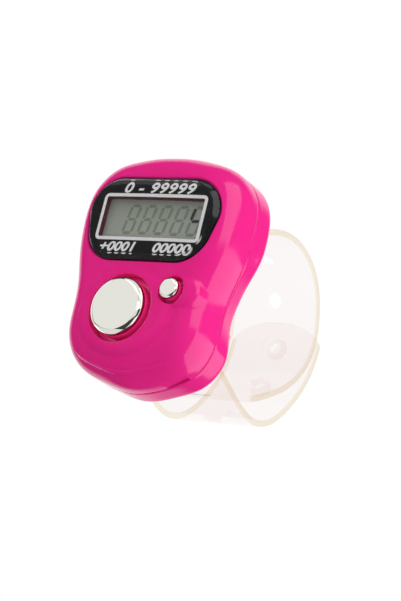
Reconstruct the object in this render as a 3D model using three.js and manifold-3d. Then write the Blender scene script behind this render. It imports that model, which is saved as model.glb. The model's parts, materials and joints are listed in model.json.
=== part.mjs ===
// Digital tally counter worn on a finger, in millimetres.
// X is to the right, Y to the back and Z up. Levels along Y count from the flat of the
// casing's front, and heights along Z count from the middle of the casing.
import * as THREE from 'three';
import { mergeVertices } from 'three/addons/utils/BufferGeometryUtils.js';
import Module from 'manifold-3d';

const wasm = await Module();
wasm.setup();

// Casing
const casingWidth = 31.3;
const casingHeight = 40.5;
const casingDepth = 12.8;
const partingLevel = 7.5;
const frontWall = 1.8;
const backWall = 1.2;
const sideWall = 1.5;
const shoulderDepth = 6;          // depth of the rounding round the front
const shoulderInset = 4;          // how far that rounding reaches in at the top and sides
const chinInset = 5.3;            // how far it reaches in at the bottom
const templeInset = 5;            // and at the two upper corners
const backDraft = 1.2;            // how far the waist leans in to the back
const frontFall = 0.8;            // how far the front falls back from the middle to the chin
const fallShape = 1.2;            // how that fall steepens towards the chin
const chinShape = 1.5;            // how the chin's inset steepens towards the bottom
const backRounding = 1.5;
const hollowRounding = 0.8;       // rounding of the hollow's own edges
const hollowCornerShare = 0.3;    // how much of the corners' inset the hollow follows
const lipHeight = 1;              // the back shell's lip, which seats inside the front shell
const lipThickness = 0.45;
const seatGap = 0.3;              // clearance of a piece in the seat cut for it
const cutOverrun = 1;

// Window
const windowHeight = 7.87;        // height of the display's middle
const windowWidth = 19.3;
const windowTall = 7.06;
const windowCorner = 0.5;
const lensFootWidth = 22;         // across the lens's lower corners, before they are rounded
const lensHeadWidth = 28.4;       // across its upper corners
const lensTall = 14.45;
const lensDrop = 0.3;             // the lens's middle lies this much below the display's
const lensCorner = 5.7;
const lensProud = 1;
const lensSeat = 0.8;             // depth of the recess that holds the lens and its label
const lensBevelWidth = 0.8;
const lensCrownDepth = 0.7;       // how far its face falls back at the two sides
const labelThickness = 0.2;
const lensFit = 0.2;              // gap round the lens in its recess

// Display
const glassMargin = 1.8;          // how far the glass reaches past the window on each side
const glassLap = 1.6;             // and above and below it
const glassThickness = 0.7;
const contactLedge = 1.6;         // strip of the front glass that the rear glass leaves free
const filmThickness = 0.2;
const filmMargin = 0.8;
const connectorThickness = 1.2;
const connectorMargin = 0.6;

// Circuit board
const boardGap = 0.7;             // clearance between the board and the casing's walls
const boardNotch = 1.2;           // and round the posts of the case's screws
const boardLevel = 5.6;
const boardThickness = 0.8;
const chipRadius = 3.4;
const chipThickness = 1.1;
const chipHeight = 7.4;
const chipShares = [[1, 0], [0.9, 0.5], [0.6, 0.88], [0, 1]];

// Buttons
const countX = -1.54;
const countHeight = -8.06;
const countRadius = 5;
const countProud = 1.2;           // how far the cap stands out of its collar
const countTravel = 1;
const countWellGap = 0.9;         // gap between the cap and the wall of its well
const countCollarSide = 3.35;     // how far the collar's foot reaches past the rim to the sides
const countCollarWidth = 1.45;    // and above and below it
const countCollarShift = 0.72;    // the collar lies this much to the right of its button
const countCollarDrop = 0.48;     // and this much lower
const countPlateauShare = 0.75;   // how much of the collar is flat
const countCollarProud = 0.35;
const resetX = 7.48;
const resetHeight = -4.48;
const resetRadius = 1.74;
const resetProud = 0.7;
const resetTravel = 0.8;
const resetWellGap = 0.61;
const resetCollarSide = 1.15;
const resetCollarWidth = 0.7;
const resetCollarShift = 1.41;
const resetCollarDrop = 0.15;
const resetPlateauShare = 0.35;
const resetCollarProud = 0.35;
const rimLand = 0.3;              // flat rim between a well and its collar's bulge
const collarSink = 1.3;           // how deep the foot of a collar lies below the casing's flat
const flangeOverlap = 0.45;       // how far a button's flange reaches under the front wall
const flangeThickness = 0.8;
const capRounding = 0.55;

// Rubber return domes and their contact pills
const pillThickness = 0.4;
const pillGap = 0.1;              // left between pill and board when the button is fully in
const domeWall = 0.4;
const countDomeFoot = 3.7;
const countPillRadius = 1.3;
const resetDomeFoot = 2.3;
const resetPillRadius = 0.8;
const domeShoulderShare = 0.45;   // how far out the dome's flat top reaches
const domeKneeShare = 0.3;        // how far down its straight neck reaches
const domeAnkleShare = 0.8;       // how far down its skirt reaches before the foot

// Button cell and its contacts
const cellRadius = 5.8;
const cellThickness = 3.05;
const cellHeight = -4;
const cellCanShare = 0.94;        // the smaller end of the cell
const cellStepShare = 0.2;        // and how thick that end is
const contactThickness = 0.2;
const contactWidth = 4;
const contactRise = 0.6;          // height of the negative spring above the board
const contactTongue = 6;
const contactTab = 1.5;           // foot of the positive contact on the board

// Fasteners
const screwHeadRadius = 1.3;
const screwHeadThickness = 0.9;
const screwRadius = 0.7;
const screwFit = 0.2;
const screwTipShare = 0.6;        // radius of the screw's tip
const screwEdgeShare = 0.55;      // height of the head's straight edge
const screwCrownShare = 0.75;     // radius of the head's flat top
const caseScrewLength = 6;
const boardScrewLength = 3;
const counterbore = 1.5;
const bossRadius = 1.6;
const backBossWall = 0.7;
const caseScrewShares = [[0.269, 0.374], [0.231, -0.354]];
const boardScrewShares = [0.325, -0.014];

// Finger band and the two bridges that hold it
const bandWidth = 18.2;
const bandThickness = 1.2;
const lapGap = 0.35;              // between the band's two overlapping ends
const ringDepth = 31.6;           // from the casing's back to the far side of the ring
const ringDrop = 0.45;            // of the ring's middle below the casing's
const ringHalfHeight = 17;
const tipLength = 4.2;
const tipFlatShare = 0.1;         // the flat that is left at the middle of each rounded tip
const bandHoleRadius = 1.5;
const bandHolePitch = 8.2;
const bandHoleEdge = 4.6;         // from the outer tip to the first hole's middle
const bandHoles = 4;
const bandStuds = 2;
const studRadius = 1.15;
const studHeadRadius = 2;
const studHeadThickness = 0.6;
const bridgeHeight = 8;           // height of each bridge's middle above or below the casing's
const bridgeTall = 3;
const bridgeBar = 1.6;
const bridgeLeg = 1.2;
const bridgeCorner = 1.3;

// Number of facets
const casingFacets = 72;
const shoulderSteps = 5;
const hollowSteps = 2;
const crownShares = [0.1, 0.45, 0.75];
const lensCrownShares = [0.8, 0.4];
const collarSteps = 4;
const capSteps = 3;
const bandHeadSteps = 46;
const bandFootSteps = 38;
const wideFacets = 48;
const smallFacets = 24;
const screwFacets = 12;
const cornerFacets = 5;

// Sizes that follow from the ones above
const glassWidth = windowWidth + 2 * glassMargin;
const glassTall = windowTall + 2 * glassLap;
const countHole = countRadius + countWellGap;
const countRim = countHole + rimLand;
const resetHole = resetRadius + resetWellGap;
const resetRim = resetHole + rimLand;
const countFlange = countHole + flangeOverlap;
const resetFlange = resetHole + flangeOverlap;

// Levels along Y that follow from them
const lensBack = lensSeat - labelThickness;
const glassLevel = frontWall + filmThickness;
const rearGlassLevel = glassLevel + glassThickness;
const reflectorLevel = rearGlassLevel + glassThickness;
const flangeLevel = frontWall + seatGap;
const domeLevel = flangeLevel + flangeThickness;
const boardBack = boardLevel + boardThickness;
const cellLevel = boardBack + contactRise;
const cellBack = cellLevel + cellThickness;
const screwSeat = casingDepth - counterbore;
const bandLevel = casingDepth + seatGap + bandThickness / 2;
const bridgeInner = casingDepth + bandThickness + 2 * seatGap;
const bridgeLevel = bridgeInner + bridgeBar;

// Finishes
const pinkPlastic = new THREE.MeshStandardMaterial({ color: 0xe0257f, roughness: 0.25 });
const clearAcrylic = new THREE.MeshStandardMaterial({
  color: 0xf4f6f8, roughness: 0.05, transparent: true, opacity: 0.3,
});
const blackPrint = new THREE.MeshStandardMaterial({ color: 0x101114, roughness: 0.35 });
const displayGrey = new THREE.MeshStandardMaterial({ color: 0x87907c, roughness: 0.4 });
const displayGlass = new THREE.MeshStandardMaterial({ color: 0xa9b0a4, roughness: 0.1 });
const chrome = new THREE.MeshStandardMaterial({ color: 0xe9ece9, roughness: 0.06, metalness: 1 });
const greyRubber = new THREE.MeshStandardMaterial({ color: 0x9a9a98, roughness: 0.7 });
const blackRubber = new THREE.MeshStandardMaterial({ color: 0x1c1c1e, roughness: 0.75 });
const boardGreen = new THREE.MeshStandardMaterial({ color: 0x1f5a38, roughness: 0.5 });
const blackEpoxy = new THREE.MeshStandardMaterial({ color: 0x141416, roughness: 0.3 });
const steel = new THREE.MeshStandardMaterial({ color: 0xb9bcc0, roughness: 0.3, metalness: 1 });
const clearRubber = new THREE.MeshStandardMaterial({
  color: 0xf6efec, roughness: 0.2, transparent: true, opacity: 0.45,
});

// Solids
// Turns a closed geometry into a solid with its faces pointing out.
function solid(geometry) {
  const bare = geometry.clone();
  bare.deleteAttribute('normal');
  bare.deleteAttribute('uv');
  const merged = mergeVertices(bare);
  const points = merged.attributes.position.array;
  const corners = merged.index.array;
  const faces = [];
  let volume = 0;
  for (let i = 0; i < corners.length; i += 3) {
    const [a, b, c] = corners.subarray(i, i + 3);
    if (a === b || b === c || c === a) continue;
    faces.push([a, b, c]);
    const [p, q, r] = [a, b, c].map((k) => new THREE.Vector3().fromArray(points, 3 * k));
    volume += p.dot(q.cross(r));
  }
  const outward = volume > 0 ? faces : faces.map(([a, b, c]) => [a, c, b]);
  return new wasm.Manifold(new wasm.Mesh({
    numProp: 3,
    vertProperties: Float32Array.from(points),
    triVerts: Uint32Array.from(outward.flat()),
  }));
}

function mesh(name, shape, material) {
  const data = shape.getMesh();
  const geometry = new THREE.BufferGeometry();
  geometry.setAttribute('position', new THREE.BufferAttribute(data.vertProperties, 3));
  geometry.setIndex(new THREE.BufferAttribute(data.triVerts, 1));
  geometry.computeVertexNormals();
  const piece = new THREE.Mesh(geometry, material);
  piece.name = name;
  return piece;
}

function block(x0, x1, y0, y1, z0, z1) {
  const box = new THREE.BoxGeometry(x1 - x0, y1 - y0, z1 - z0);
  return solid(box.translate((x0 + x1) / 2, (y0 + y1) / 2, (z0 + z1) / 2));
}

// A drum along Y with its middle at x, z.
function drum(x, z, radius, from, to, facets = smallFacets) {
  const cylinder = new THREE.CylinderGeometry(radius, radius, to - from, facets);
  return solid(cylinder.translate(x, (from + to) / 2, z));
}

// A profile of [radius, level] points turned about an axis along Y at x, z.
function turned(profile, x, z, facets = wideFacets) {
  const points = profile.map(([radius, level]) => new THREE.Vector2(radius, level));
  return solid(new THREE.LatheGeometry(points, facets).translate(x, 0, z));
}

// Rings with the same number of points, joined side by side and closed at both ends.
function loft(rings) {
  const count = rings[0].length;
  const positions = rings.flat().flatMap((point) => point.toArray());
  const faces = [];
  for (let k = 0; k + 1 < rings.length; k += 1) {
    for (let i = 0; i < count; i += 1) {
      const next = (i + 1) % count;
      const [a, b, c, d] = [k * count + i, k * count + next, (k + 1) * count + next, (k + 1) * count + i];
      faces.push(a, b, c, a, c, d);
    }
  }
  [rings[0], rings.at(-1)].forEach((ring, end) => {
    const middle = ring.reduce((sum, point) => sum.add(point), new THREE.Vector3());
    const first = end * (rings.length - 1) * count;
    const hub = positions.length / 3;
    positions.push(...middle.divideScalar(count).toArray());
    for (let i = 0; i < count; i += 1) {
      const pair = [first + i, first + ((i + 1) % count)];
      faces.push(hub, ...(end ? pair : pair.reverse()));
    }
  });
  const geometry = new THREE.BufferGeometry();
  geometry.setAttribute('position', new THREE.Float32BufferAttribute(positions, 3));
  geometry.setIndex(faces);
  return solid(geometry);
}

// A convex outline with rounded corners, grown outwards all round, as Vector2 points.
function roundedOutline(corners, radius, grow = 0) {
  return corners.flatMap((corner, i) => {
    const tip = new THREE.Vector2(...corner);
    const before = new THREE.Vector2(...corners.at(i - 1)).sub(tip).normalize();
    const after = new THREE.Vector2(...corners[(i + 1) % corners.length]).sub(tip).normalize();
    const half = Math.acos(before.dot(after)) / 2;
    const inward = before.clone().add(after).normalize();
    const centre = tip.clone().addScaledVector(inward, radius / Math.sin(half));
    const reach = radius / Math.tan(half);
    const start = tip.clone().addScaledVector(before, reach).sub(centre).angle();
    const end = tip.clone().addScaledVector(after, reach).sub(centre).angle();
    const sweep = Math.atan2(Math.sin(end - start), Math.cos(end - start));
    return Array.from({ length: cornerFacets + 1 }, (_, k) => {
      const angle = start + (sweep * k) / cornerFacets;
      const spoke = new THREE.Vector2(Math.cos(angle), Math.sin(angle));
      return centre.clone().addScaledVector(spoke, radius + grow);
    });
  });
}

function rectangle(width, tall, height = 0) {
  return [[-1, -1], [1, -1], [1, 1], [-1, 1]].map(
    ([sx, sz]) => [(sx * width) / 2, height + (sz * tall) / 2],
  );
}

// A flat plate whose outline lies in XZ.
function plate(outline, from, to) {
  const geometry = new THREE.ExtrudeGeometry(new THREE.Shape(outline), {
    depth: to - from, bevelEnabled: false,
  });
  return solid(geometry.rotateX(Math.PI / 2).translate(0, to, 0));
}

const atLevel = (outline, level) => outline.map(({ x, y }) => new THREE.Vector3(x, level, y));
const mirrored = ([x, z]) => [-x, z];

// Casing form
// The outline at the parting plane, from the top down the right side, as shares of half the
// width and half the height: a broad head, a slight waist and a rounder foot.
const casingOutlineShares = [
  [0, 1], [0.415, 0.972], [0.759, 0.881], [0.955, 0.685], [1, 0.474], [0.994, 0.26],
  [0.945, 0.019], [0.876, -0.206], [0.863, -0.434], [0.837, -0.645], [0.671, -0.838],
  [0.379, -0.939], [0, -1],
];

function casingOutline() {
  const right = casingOutlineShares.map(
    ([x, z]) => [(x * casingWidth) / 2, (z * casingHeight) / 2],
  );
  const left = right.slice(1, -1).reverse().map(mirrored);
  const knots = [...right, ...left].map(([x, z]) => new THREE.Vector3(x, 0, z));
  const curve = new THREE.CatmullRomCurve3(knots, true, 'centripetal');
  const points = curve.getSpacedPoints(casingFacets).slice(0, casingFacets);
  return points.map((point, i) => {
    const along = points[(i + 1) % casingFacets].clone().sub(points.at(i - 1)).normalize();
    const out = new THREE.Vector3(-along.z, 0, along.x);
    const sign = out.dot(point) < 0 ? -1 : 1;
    return { point, out: out.multiplyScalar(sign) };
  });
}

const outline = casingOutline();

// Where the waist's lean fades in and out, as shares of half the height.
const draftShares = { shoulder: 0.35, waist: -0.05, hip: -0.25, foot: -0.65 };

// How far a point of the outline leans in at a level behind the parting line.
function draft({ point, out }, level) {
  const height = (2 * point.z) / casingHeight;
  const { shoulder, waist, hip, foot } = draftShares;
  const below = THREE.MathUtils.smoothstep(-height, -shoulder, -waist) * Math.abs(out.x);
  const above = THREE.MathUtils.smoothstep(height, foot, hip);
  const back = Math.max(0, level - partingLevel) / (casingDepth - partingLevel);
  return back * below * above * backDraft;
}

// What the chin and the upper corners add to the rounding round the front.
function extraInset({ out }) {
  const chin = Math.max(0, -out.z) ** chinShape;
  const temple = Math.max(0, 2 * Math.abs(out.x) * out.z);
  return chin * (chinInset - shoulderInset) + temple * (templeInset - shoulderInset);
}

// The outline at one level. The front falls back towards the chin and less so the deeper
// the level lies.
function casingRing(level, inset, fall) {
  return outline.map((place) => {
    const { point, out } = place;
    const ring = point.clone().addScaledVector(out, -inset(place) - draft(place, level));
    const below = Math.max(0, (-2 * ring.z) / casingHeight) ** fallShape;
    return ring.setY(level + fall * below * Math.max(0, 1 - level / partingLevel));
  });
}

// The same ring drawn in towards the middle, for the crown of the front.
function crownRing(share, inset, fall) {
  return casingRing(0, inset, 0).map((point) => {
    const ring = point.multiplyScalar(share);
    const below = Math.max(0, (-2 * ring.z) / casingHeight) ** fallShape;
    return ring.setY(fall * below);
  });
}

// A form with the casing's outline: the casing itself, or set in by its walls the hollow.
function casingForm({ front, side, back, shoulder, extra, heel, fall, steps }) {
  const frontInset = (place) => side + shoulder + extra * extraInset(place);
  const rings = fall ? crownShares.map((share) => crownRing(share, frontInset, fall)) : [];
  const angles = Array.from({ length: steps + 1 }, (_, k) => ((k / steps) * Math.PI) / 2);
  const depth = shoulderDepth - front / 2;
  for (const angle of angles) {
    const spread = 1 - Math.sin(angle);
    rings.push(casingRing(front + depth * (1 - Math.cos(angle)), (place) => (
      side + spread * (shoulder + extra * extraInset(place))
    ), fall));
  }
  rings.push(casingRing(partingLevel, () => side, 0));
  for (const angle of angles) {
    const level = casingDepth - back - heel * (1 - Math.sin(angle));
    rings.push(casingRing(level, () => side + heel * (1 - Math.cos(angle)), 0));
  }
  return loft(rings);
}

const casing = casingForm({
  front: 0, side: 0, back: 0, shoulder: shoulderInset, extra: 1, heel: backRounding,
  fall: frontFall, steps: shoulderSteps,
});
const hollow = casingForm({
  front: frontWall, side: sideWall, back: backWall, shoulder: hollowRounding,
  extra: hollowCornerShare, heel: hollowRounding, fall: 0, steps: hollowSteps,
});

// A straight wall plug along the outline, set in by one amount all round.
function outlinePlug(inset, from, to) {
  return loft([from, to].map((level) => outline.map(({ point, out }) => (
    point.clone().addScaledVector(out, -inset).setY(level)
  ))));
}

function halfSpace(from, to) {
  return block(-casingWidth, casingWidth, from, to, -casingHeight, casingHeight);
}

// Screw places on both sides, from shares of the casing's width and height.
function screwPlaces([across, up]) {
  const x = across * casingWidth;
  const z = up * casingHeight;
  return [[-x, z], [x, z]];
}

const caseScrews = caseScrewShares.flatMap(screwPlaces);
const boardScrews = screwPlaces(boardScrewShares);

// Window
function lensOutline(grow) {
  const head = windowHeight - lensDrop + lensTall / 2;
  const foot = head - lensTall;
  const corners = [
    [-lensFootWidth / 2, foot], [lensFootWidth / 2, foot],
    [lensHeadWidth / 2, head], [-lensHeadWidth / 2, head],
  ];
  return roundedOutline(corners, lensCorner, grow);
}

// A ring set back with the fall of the lens's face.
function crowned(ring) {
  return ring.map((point) => {
    const fall = lensCrownDepth * ((2 * point.x) / lensHeadWidth) ** 2;
    return point.clone().setY(point.y + fall);
  });
}

function windowLens() {
  const rim = atLevel(lensOutline(-lensBevelWidth), -lensProud);
  const middle = new THREE.Vector3(0, -lensProud, windowHeight);
  const face = lensCrownShares.map((share) => rim.map((point) => middle.clone().lerp(point, share)));
  return loft([
    atLevel(lensOutline(0), lensBack),
    crowned(atLevel(lensOutline(0), lensBevelWidth - lensProud)),
    crowned(rim),
    ...face.map(crowned),
  ]);
}

function windowOutline(grow = 0) {
  const opening = rectangle(windowWidth, windowTall, windowHeight);
  return roundedOutline(opening, windowCorner, grow);
}

function labelMask() {
  const sheet = plate(lensOutline(0), lensBack, lensSeat);
  return sheet.subtract(plate(windowOutline(), -cutOverrun, lensSeat + cutOverrun));
}

// Front shell
// A raised oval collar round a button: flat on top, then falling like a quarter of an ellipse.
function collar({ x, z, across, tall, plateau, proud }) {
  const bulge = Array.from({ length: collarSteps + 1 }, (_, k) => {
    const angle = ((k / collarSteps) * Math.PI) / 2;
    const level = (proud + collarSink) * (1 - Math.cos(angle)) - proud;
    return [plateau + (1 - plateau) * Math.sin(angle), level];
  });
  const round = turned([[0, -proud], ...bulge, [0, collarSink]], 0, 0);
  return round.scale([across, 1, tall]).translate([x, 0, z]);
}

function frontShell() {
  let shell = casing.intersect(halfSpace(-casingDepth, partingLevel));
  shell = shell.add(collar({
    x: countX + countCollarShift,
    z: countHeight - countCollarDrop,
    across: countRim + countCollarSide,
    tall: countRim + countCollarWidth,
    plateau: countPlateauShare,
    proud: countCollarProud,
  }));
  shell = shell.add(collar({
    x: resetX + resetCollarShift,
    z: resetHeight - resetCollarDrop,
    across: resetRim + resetCollarSide,
    tall: resetRim + resetCollarWidth,
    plateau: resetPlateauShare,
    proud: resetCollarProud,
  }));
  shell = shell.subtract(hollow);
  const rebate = outlinePlug(
    sideWall - lipThickness - seatGap,
    partingLevel - lipHeight - seatGap,
    partingLevel + cutOverrun,
  );
  shell = shell.subtract(rebate);
  for (const [x, z] of caseScrews) {
    shell = shell.add(drum(x, z, bossRadius, frontWall / 2, partingLevel).intersect(casing));
  }
  for (const [x, z] of boardScrews) {
    shell = shell.add(drum(x, z, bossRadius, frontWall / 2, boardLevel));
  }
  const pilot = screwRadius + screwFit;
  for (const [x, z] of caseScrews) {
    const end = screwSeat - caseScrewLength - screwFit;
    shell = shell.subtract(drum(x, z, pilot, end, casingDepth, screwFacets));
  }
  for (const [x, z] of boardScrews) {
    const end = boardBack - boardScrewLength - screwFit;
    shell = shell.subtract(drum(x, z, pilot, end, partingLevel, screwFacets));
  }
  shell = shell.subtract(plate(lensOutline(lensFit), -cutOverrun, lensSeat));
  shell = shell.subtract(plate(windowOutline(), 0, frontWall + cutOverrun));
  const glass = roundedOutline(rectangle(glassWidth, glassTall, windowHeight), windowCorner, seatGap);
  shell = shell.subtract(plate(glass, frontWall, boardLevel));
  const wells = [
    [countX, countHeight, countHole, countFlange + seatGap],
    [resetX, resetHeight, resetHole, resetFlange + seatGap],
  ];
  for (const [x, z, hole, room] of wells) {
    shell = shell.subtract(drum(x, z, hole, -casingDepth, frontWall + cutOverrun, wideFacets));
    shell = shell.subtract(drum(x, z, room, frontWall, boardLevel, wideFacets));
  }
  return shell;
}

// Back shell
// A bridge over the band: two legs and a bar, rounded at the outer corners.
function bridge(height) {
  const half = bandWidth / 2 + seatGap + bridgeLeg;
  const root = casingDepth - backRounding;
  const outer = roundedOutline(
    rectangle(2 * half, 2 * (bridgeLevel - root), root), bridgeCorner,
  );
  const body = solid(new THREE.ExtrudeGeometry(new THREE.Shape(outer), {
    depth: bridgeTall, bevelEnabled: false,
  }).translate(0, 0, height - bridgeTall / 2));
  const low = height - bridgeTall;
  const slot = block(
    bridgeLeg - half, half - bridgeLeg, casingDepth, bridgeInner, low, low + 2 * bridgeTall,
  );
  return body.intersect(halfSpace(root, casingDepth * 2)).subtract(slot);
}

function backShell() {
  const form = casing.intersect(halfSpace(partingLevel, casingDepth * 2));
  const lip = outlinePlug(
    sideWall - lipThickness, partingLevel - lipHeight, partingLevel + lipHeight / 2,
  );
  let shell = form.add(lip);
  for (const height of [-bridgeHeight, bridgeHeight]) {
    shell = shell.add(bridge(height));
  }
  shell = shell.subtract(hollow);
  shell = shell.subtract(outlinePlug(sideWall, -casingDepth, partingLevel));
  const boss = screwHeadRadius + screwFit + backBossWall;
  for (const [x, z] of caseScrews) {
    const post = drum(x, z, boss, partingLevel, casingDepth - backWall / 2);
    shell = shell.add(post.intersect(casing));
  }
  const cellRoom = cellBack + contactThickness + seatGap;
  shell = shell.subtract(
    drum(0, cellHeight, cellRadius + contactThickness + 3 * seatGap, boardBack, cellRoom),
  );
  for (const [x, z] of caseScrews) {
    const hole = drum(x, z, screwRadius + screwFit, 0, casingDepth, screwFacets);
    const head = drum(x, z, screwHeadRadius + screwFit, screwSeat, casingDepth * 2);
    shell = shell.subtract(hole).subtract(head);
  }
  return shell;
}

// Display
function displayPlate(width, tall, top, from, thickness) {
  return plate(
    roundedOutline(rectangle(width, tall, top - tall / 2), windowCorner / 2),
    from, from + thickness,
  );
}

const glassTop = windowHeight + glassTall / 2;
const glassFoot = glassTop - glassTall;
const rearGlassTall = glassTall - contactLedge;

function connectorStrip() {
  const foot = glassFoot + (contactLedge - connectorThickness) / 2;
  const half = glassWidth / 2 - connectorMargin;
  return block(-half, half, rearGlassLevel, boardLevel, foot, foot + connectorThickness);
}

// Circuit board
// The board follows the casing's outline, with a notch round each post of the case's screws.
function circuitBoard() {
  let board = outlinePlug(sideWall + boardGap, boardLevel, boardBack);
  for (const [x, z] of caseScrews) {
    board = board.subtract(drum(x, z, bossRadius + boardNotch, 0, casingDepth));
  }
  for (const [x, z] of boardScrews) {
    board = board.subtract(drum(x, z, screwRadius + screwFit, 0, casingDepth, screwFacets));
  }
  return board;
}

// A drop of epoxy over the chip.
function chipCover() {
  const drop = chipShares.map(([across, deep]) => (
    [across * chipRadius, boardBack + deep * chipThickness]
  ));
  return turned([[0, boardBack], ...drop], 0, chipHeight, smallFacets);
}

// Buttons
// A chromed cap with a rounded edge, a straight skirt and a flange that holds it in.
function button(x, z, radius, flange, top, facets) {
  const edge = Array.from({ length: capSteps + 1 }, (_, k) => {
    const angle = (k / capSteps) * (Math.PI / 2);
    const inset = capRounding * (1 - Math.sin(angle));
    return [radius - inset, top + capRounding * (1 - Math.cos(angle))];
  });
  return turned([
    [0, top], ...edge, [radius, flangeLevel], [flange, flangeLevel],
    [flange, domeLevel], [0, domeLevel],
  ], x, z, facets);
}

// A rubber dome on the board, with a core that carries the contact pill.
function dome(x, z, foot, pillRadius, pillLevel) {
  const core = pillRadius + domeWall / 2;
  const shoulder = THREE.MathUtils.lerp(core, foot, domeShoulderShare);
  const kneeLevel = THREE.MathUtils.lerp(domeLevel, boardLevel, domeKneeShare);
  const ankle = foot - domeWall / 2;
  const ankleLevel = THREE.MathUtils.lerp(domeLevel, boardLevel, domeAnkleShare);
  return turned([
    [0, domeLevel], [shoulder, domeLevel], [shoulder, kneeLevel], [ankle, ankleLevel],
    [foot, boardLevel], [foot - domeWall * 1.5, boardLevel], [ankle - domeWall, ankleLevel],
    [core, kneeLevel + domeWall], [core, pillLevel], [0, pillLevel],
  ], x, z, smallFacets);
}

// Button cell and contacts
// A bent strip of sheet metal, drawn as [level, height] corners of its edge.
function bentStrip(profile) {
  const half = contactWidth / 2;
  const geometry = new THREE.ExtrudeGeometry(
    new THREE.Shape(profile.map(([level, height]) => new THREE.Vector2(level, height))),
    { depth: contactWidth, bevelEnabled: false },
  );
  const upright = new THREE.Matrix4().makeBasis(
    new THREE.Vector3(0, 1, 0), new THREE.Vector3(0, 0, 1), new THREE.Vector3(1, 0, 0),
  );
  return solid(geometry.applyMatrix4(upright).translate(-half, 0, 0));
}

function negativeContact() {
  const foot = cellHeight - contactTongue / 2;
  const bend = foot + contactRise;
  const end = cellHeight + contactTongue / 2;
  return bentStrip([
    [boardBack, foot - contactTongue / 2], [boardBack, foot],
    [cellLevel - contactThickness, bend], [cellLevel - contactThickness, end],
    [cellLevel, end], [cellLevel, bend - contactThickness / 2],
    [boardBack + contactThickness, foot - contactThickness / 2],
    [boardBack + contactThickness, foot - contactTongue / 2],
  ]);
}

function positiveContact() {
  const leg = cellHeight + cellRadius + seatGap;
  const outside = leg + contactThickness;
  return bentStrip([
    [boardBack, leg], [boardBack, outside + contactTab],
    [boardBack + contactThickness, outside + contactTab],
    [boardBack + contactThickness, outside], [cellBack + contactThickness, outside],
    [cellBack + contactThickness, leg - contactTongue], [cellBack, leg - contactTongue],
    [cellBack, leg],
  ]);
}

function buttonCell() {
  const step = cellThickness * cellStepShare;
  const can = cellRadius * cellCanShare;
  return turned([
    [0, cellLevel], [can, cellLevel], [can, cellLevel + step], [cellRadius, cellLevel + step],
    [cellRadius, cellBack], [0, cellBack],
  ], 0, cellHeight, smallFacets);
}

// Screws
// A pan-head screw along Y, its head to the back with its seat at the given level.
function screw([x, z], seat, length) {
  return turned([
    [0, seat - length], [screwRadius * screwTipShare, seat - length],
    [screwRadius, seat - length + screwRadius], [screwRadius, seat], [screwHeadRadius, seat],
    [screwHeadRadius, seat + screwHeadThickness * screwEdgeShare],
    [screwHeadRadius * screwCrownShare, seat + screwHeadThickness],
    [0, seat + screwHeadThickness],
  ], x, z, screwFacets);
}

// Finger band
// The band's middle line in YZ. Each point is a share of the ring's depth behind the casing
// and of its half height. It starts at the inner end, goes over the top and down the back.
const bandHeadShares = [
  [0.387, -0.824], [0.517, -0.748], [0.659, -0.618], [0.814, -0.435], [0.92, -0.24],
  [0.982, -0.035], [1, 0.15], [0.985, 0.345], [0.935, 0.59], [0.866, 0.765], [0.775, 0.89],
  [0.665, 0.97], [0.54, 0.995], [0.405, 0.955], [0.27, 0.86], [0.145, 0.735], [0.06, 0.645],
];
// From the lower bridge round the bottom to where the two ends meet.
const bandFootShares = [
  [0.06, -0.645], [0.135, -0.695], [0.25, -0.785], [0.37, -0.88], [0.47, -0.94], [0.56, -0.962],
  [0.66, -0.925], [0.74, -0.855], [0.82, -0.735], [0.91, -0.545], [0.98, -0.345],
  [1.027, -0.13],
];
const lapStart = 6;               // where in bandHeadShares the outer end starts to follow it
const innerEndShare = 0.25;       // part of the band's path in which the inner end lies

function ringPoint([depth, height]) {
  return new THREE.Vector3(
    0, casingDepth + depth * ringDepth, height * ringHalfHeight - ringDrop,
  );
}

// The overlapping end follows the other one at the lap's gap.
function lapPoint([depth, height], next) {
  const here = ringPoint([depth, height]);
  const along = ringPoint(next).sub(here).normalize();
  const out = new THREE.Vector3(0, along.z, -along.y);
  return here.addScaledVector(out, bandThickness + lapGap);
}

function bandLine() {
  const seat = (height) => new THREE.Vector3(0, bandLevel, height);
  const straight = bridgeHeight + bridgeTall / 2;
  const head = [...bandHeadShares.map(ringPoint), seat(straight), seat(straight / 2)];
  const lap = [lapStart, lapStart + 1].map(
    (i) => lapPoint(bandHeadShares[i], bandHeadShares[i + 1]),
  );
  const foot = [seat(-straight / 2), seat(-straight), ...bandFootShares.map(ringPoint), ...lap];
  const headCurve = new THREE.CatmullRomCurve3(head, false, 'centripetal');
  const footCurve = new THREE.CatmullRomCurve3(foot, false, 'centripetal');
  return [
    ...headCurve.getSpacedPoints(bandHeadSteps),
    ...footCurve.getSpacedPoints(bandFootSteps),
  ];
}

const bandPath = bandLine();
const bandReach = bandPath.reduce((total, point, i) => {
  total.push(i ? total[i - 1] + point.distanceTo(bandPath[i - 1]) : 0);
  return total;
}, []);

// The point of the band's middle line at a distance along it, with the outward direction.
function bandPlace(distance) {
  const last = bandPath.length - 2;
  const found = bandReach.findIndex((reach) => reach > distance) - 1;
  const i = found < 0 ? last : found;
  const share = (distance - bandReach[i]) / (bandReach[i + 1] - bandReach[i]);
  const along = bandPath[i + 1].clone().sub(bandPath[i]).normalize();
  return {
    point: bandPath[i].clone().lerp(bandPath[i + 1], share),
    out: new THREE.Vector3(0, along.z, -along.y),
  };
}

// A drum whose axis follows the band's outward direction, from one height to another.
function bandDrum({ point, out }, radius, from, to, facets = smallFacets) {
  const cylinder = new THREE.CylinderGeometry(radius, radius, to - from, facets);
  cylinder.translate(0, (from + to) / 2, 0);
  const turn = new THREE.Quaternion().setFromUnitVectors(new THREE.Vector3(0, 1, 0), out);
  return solid(cylinder.applyQuaternion(turn).translate(point.x, point.y, point.z));
}

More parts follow.
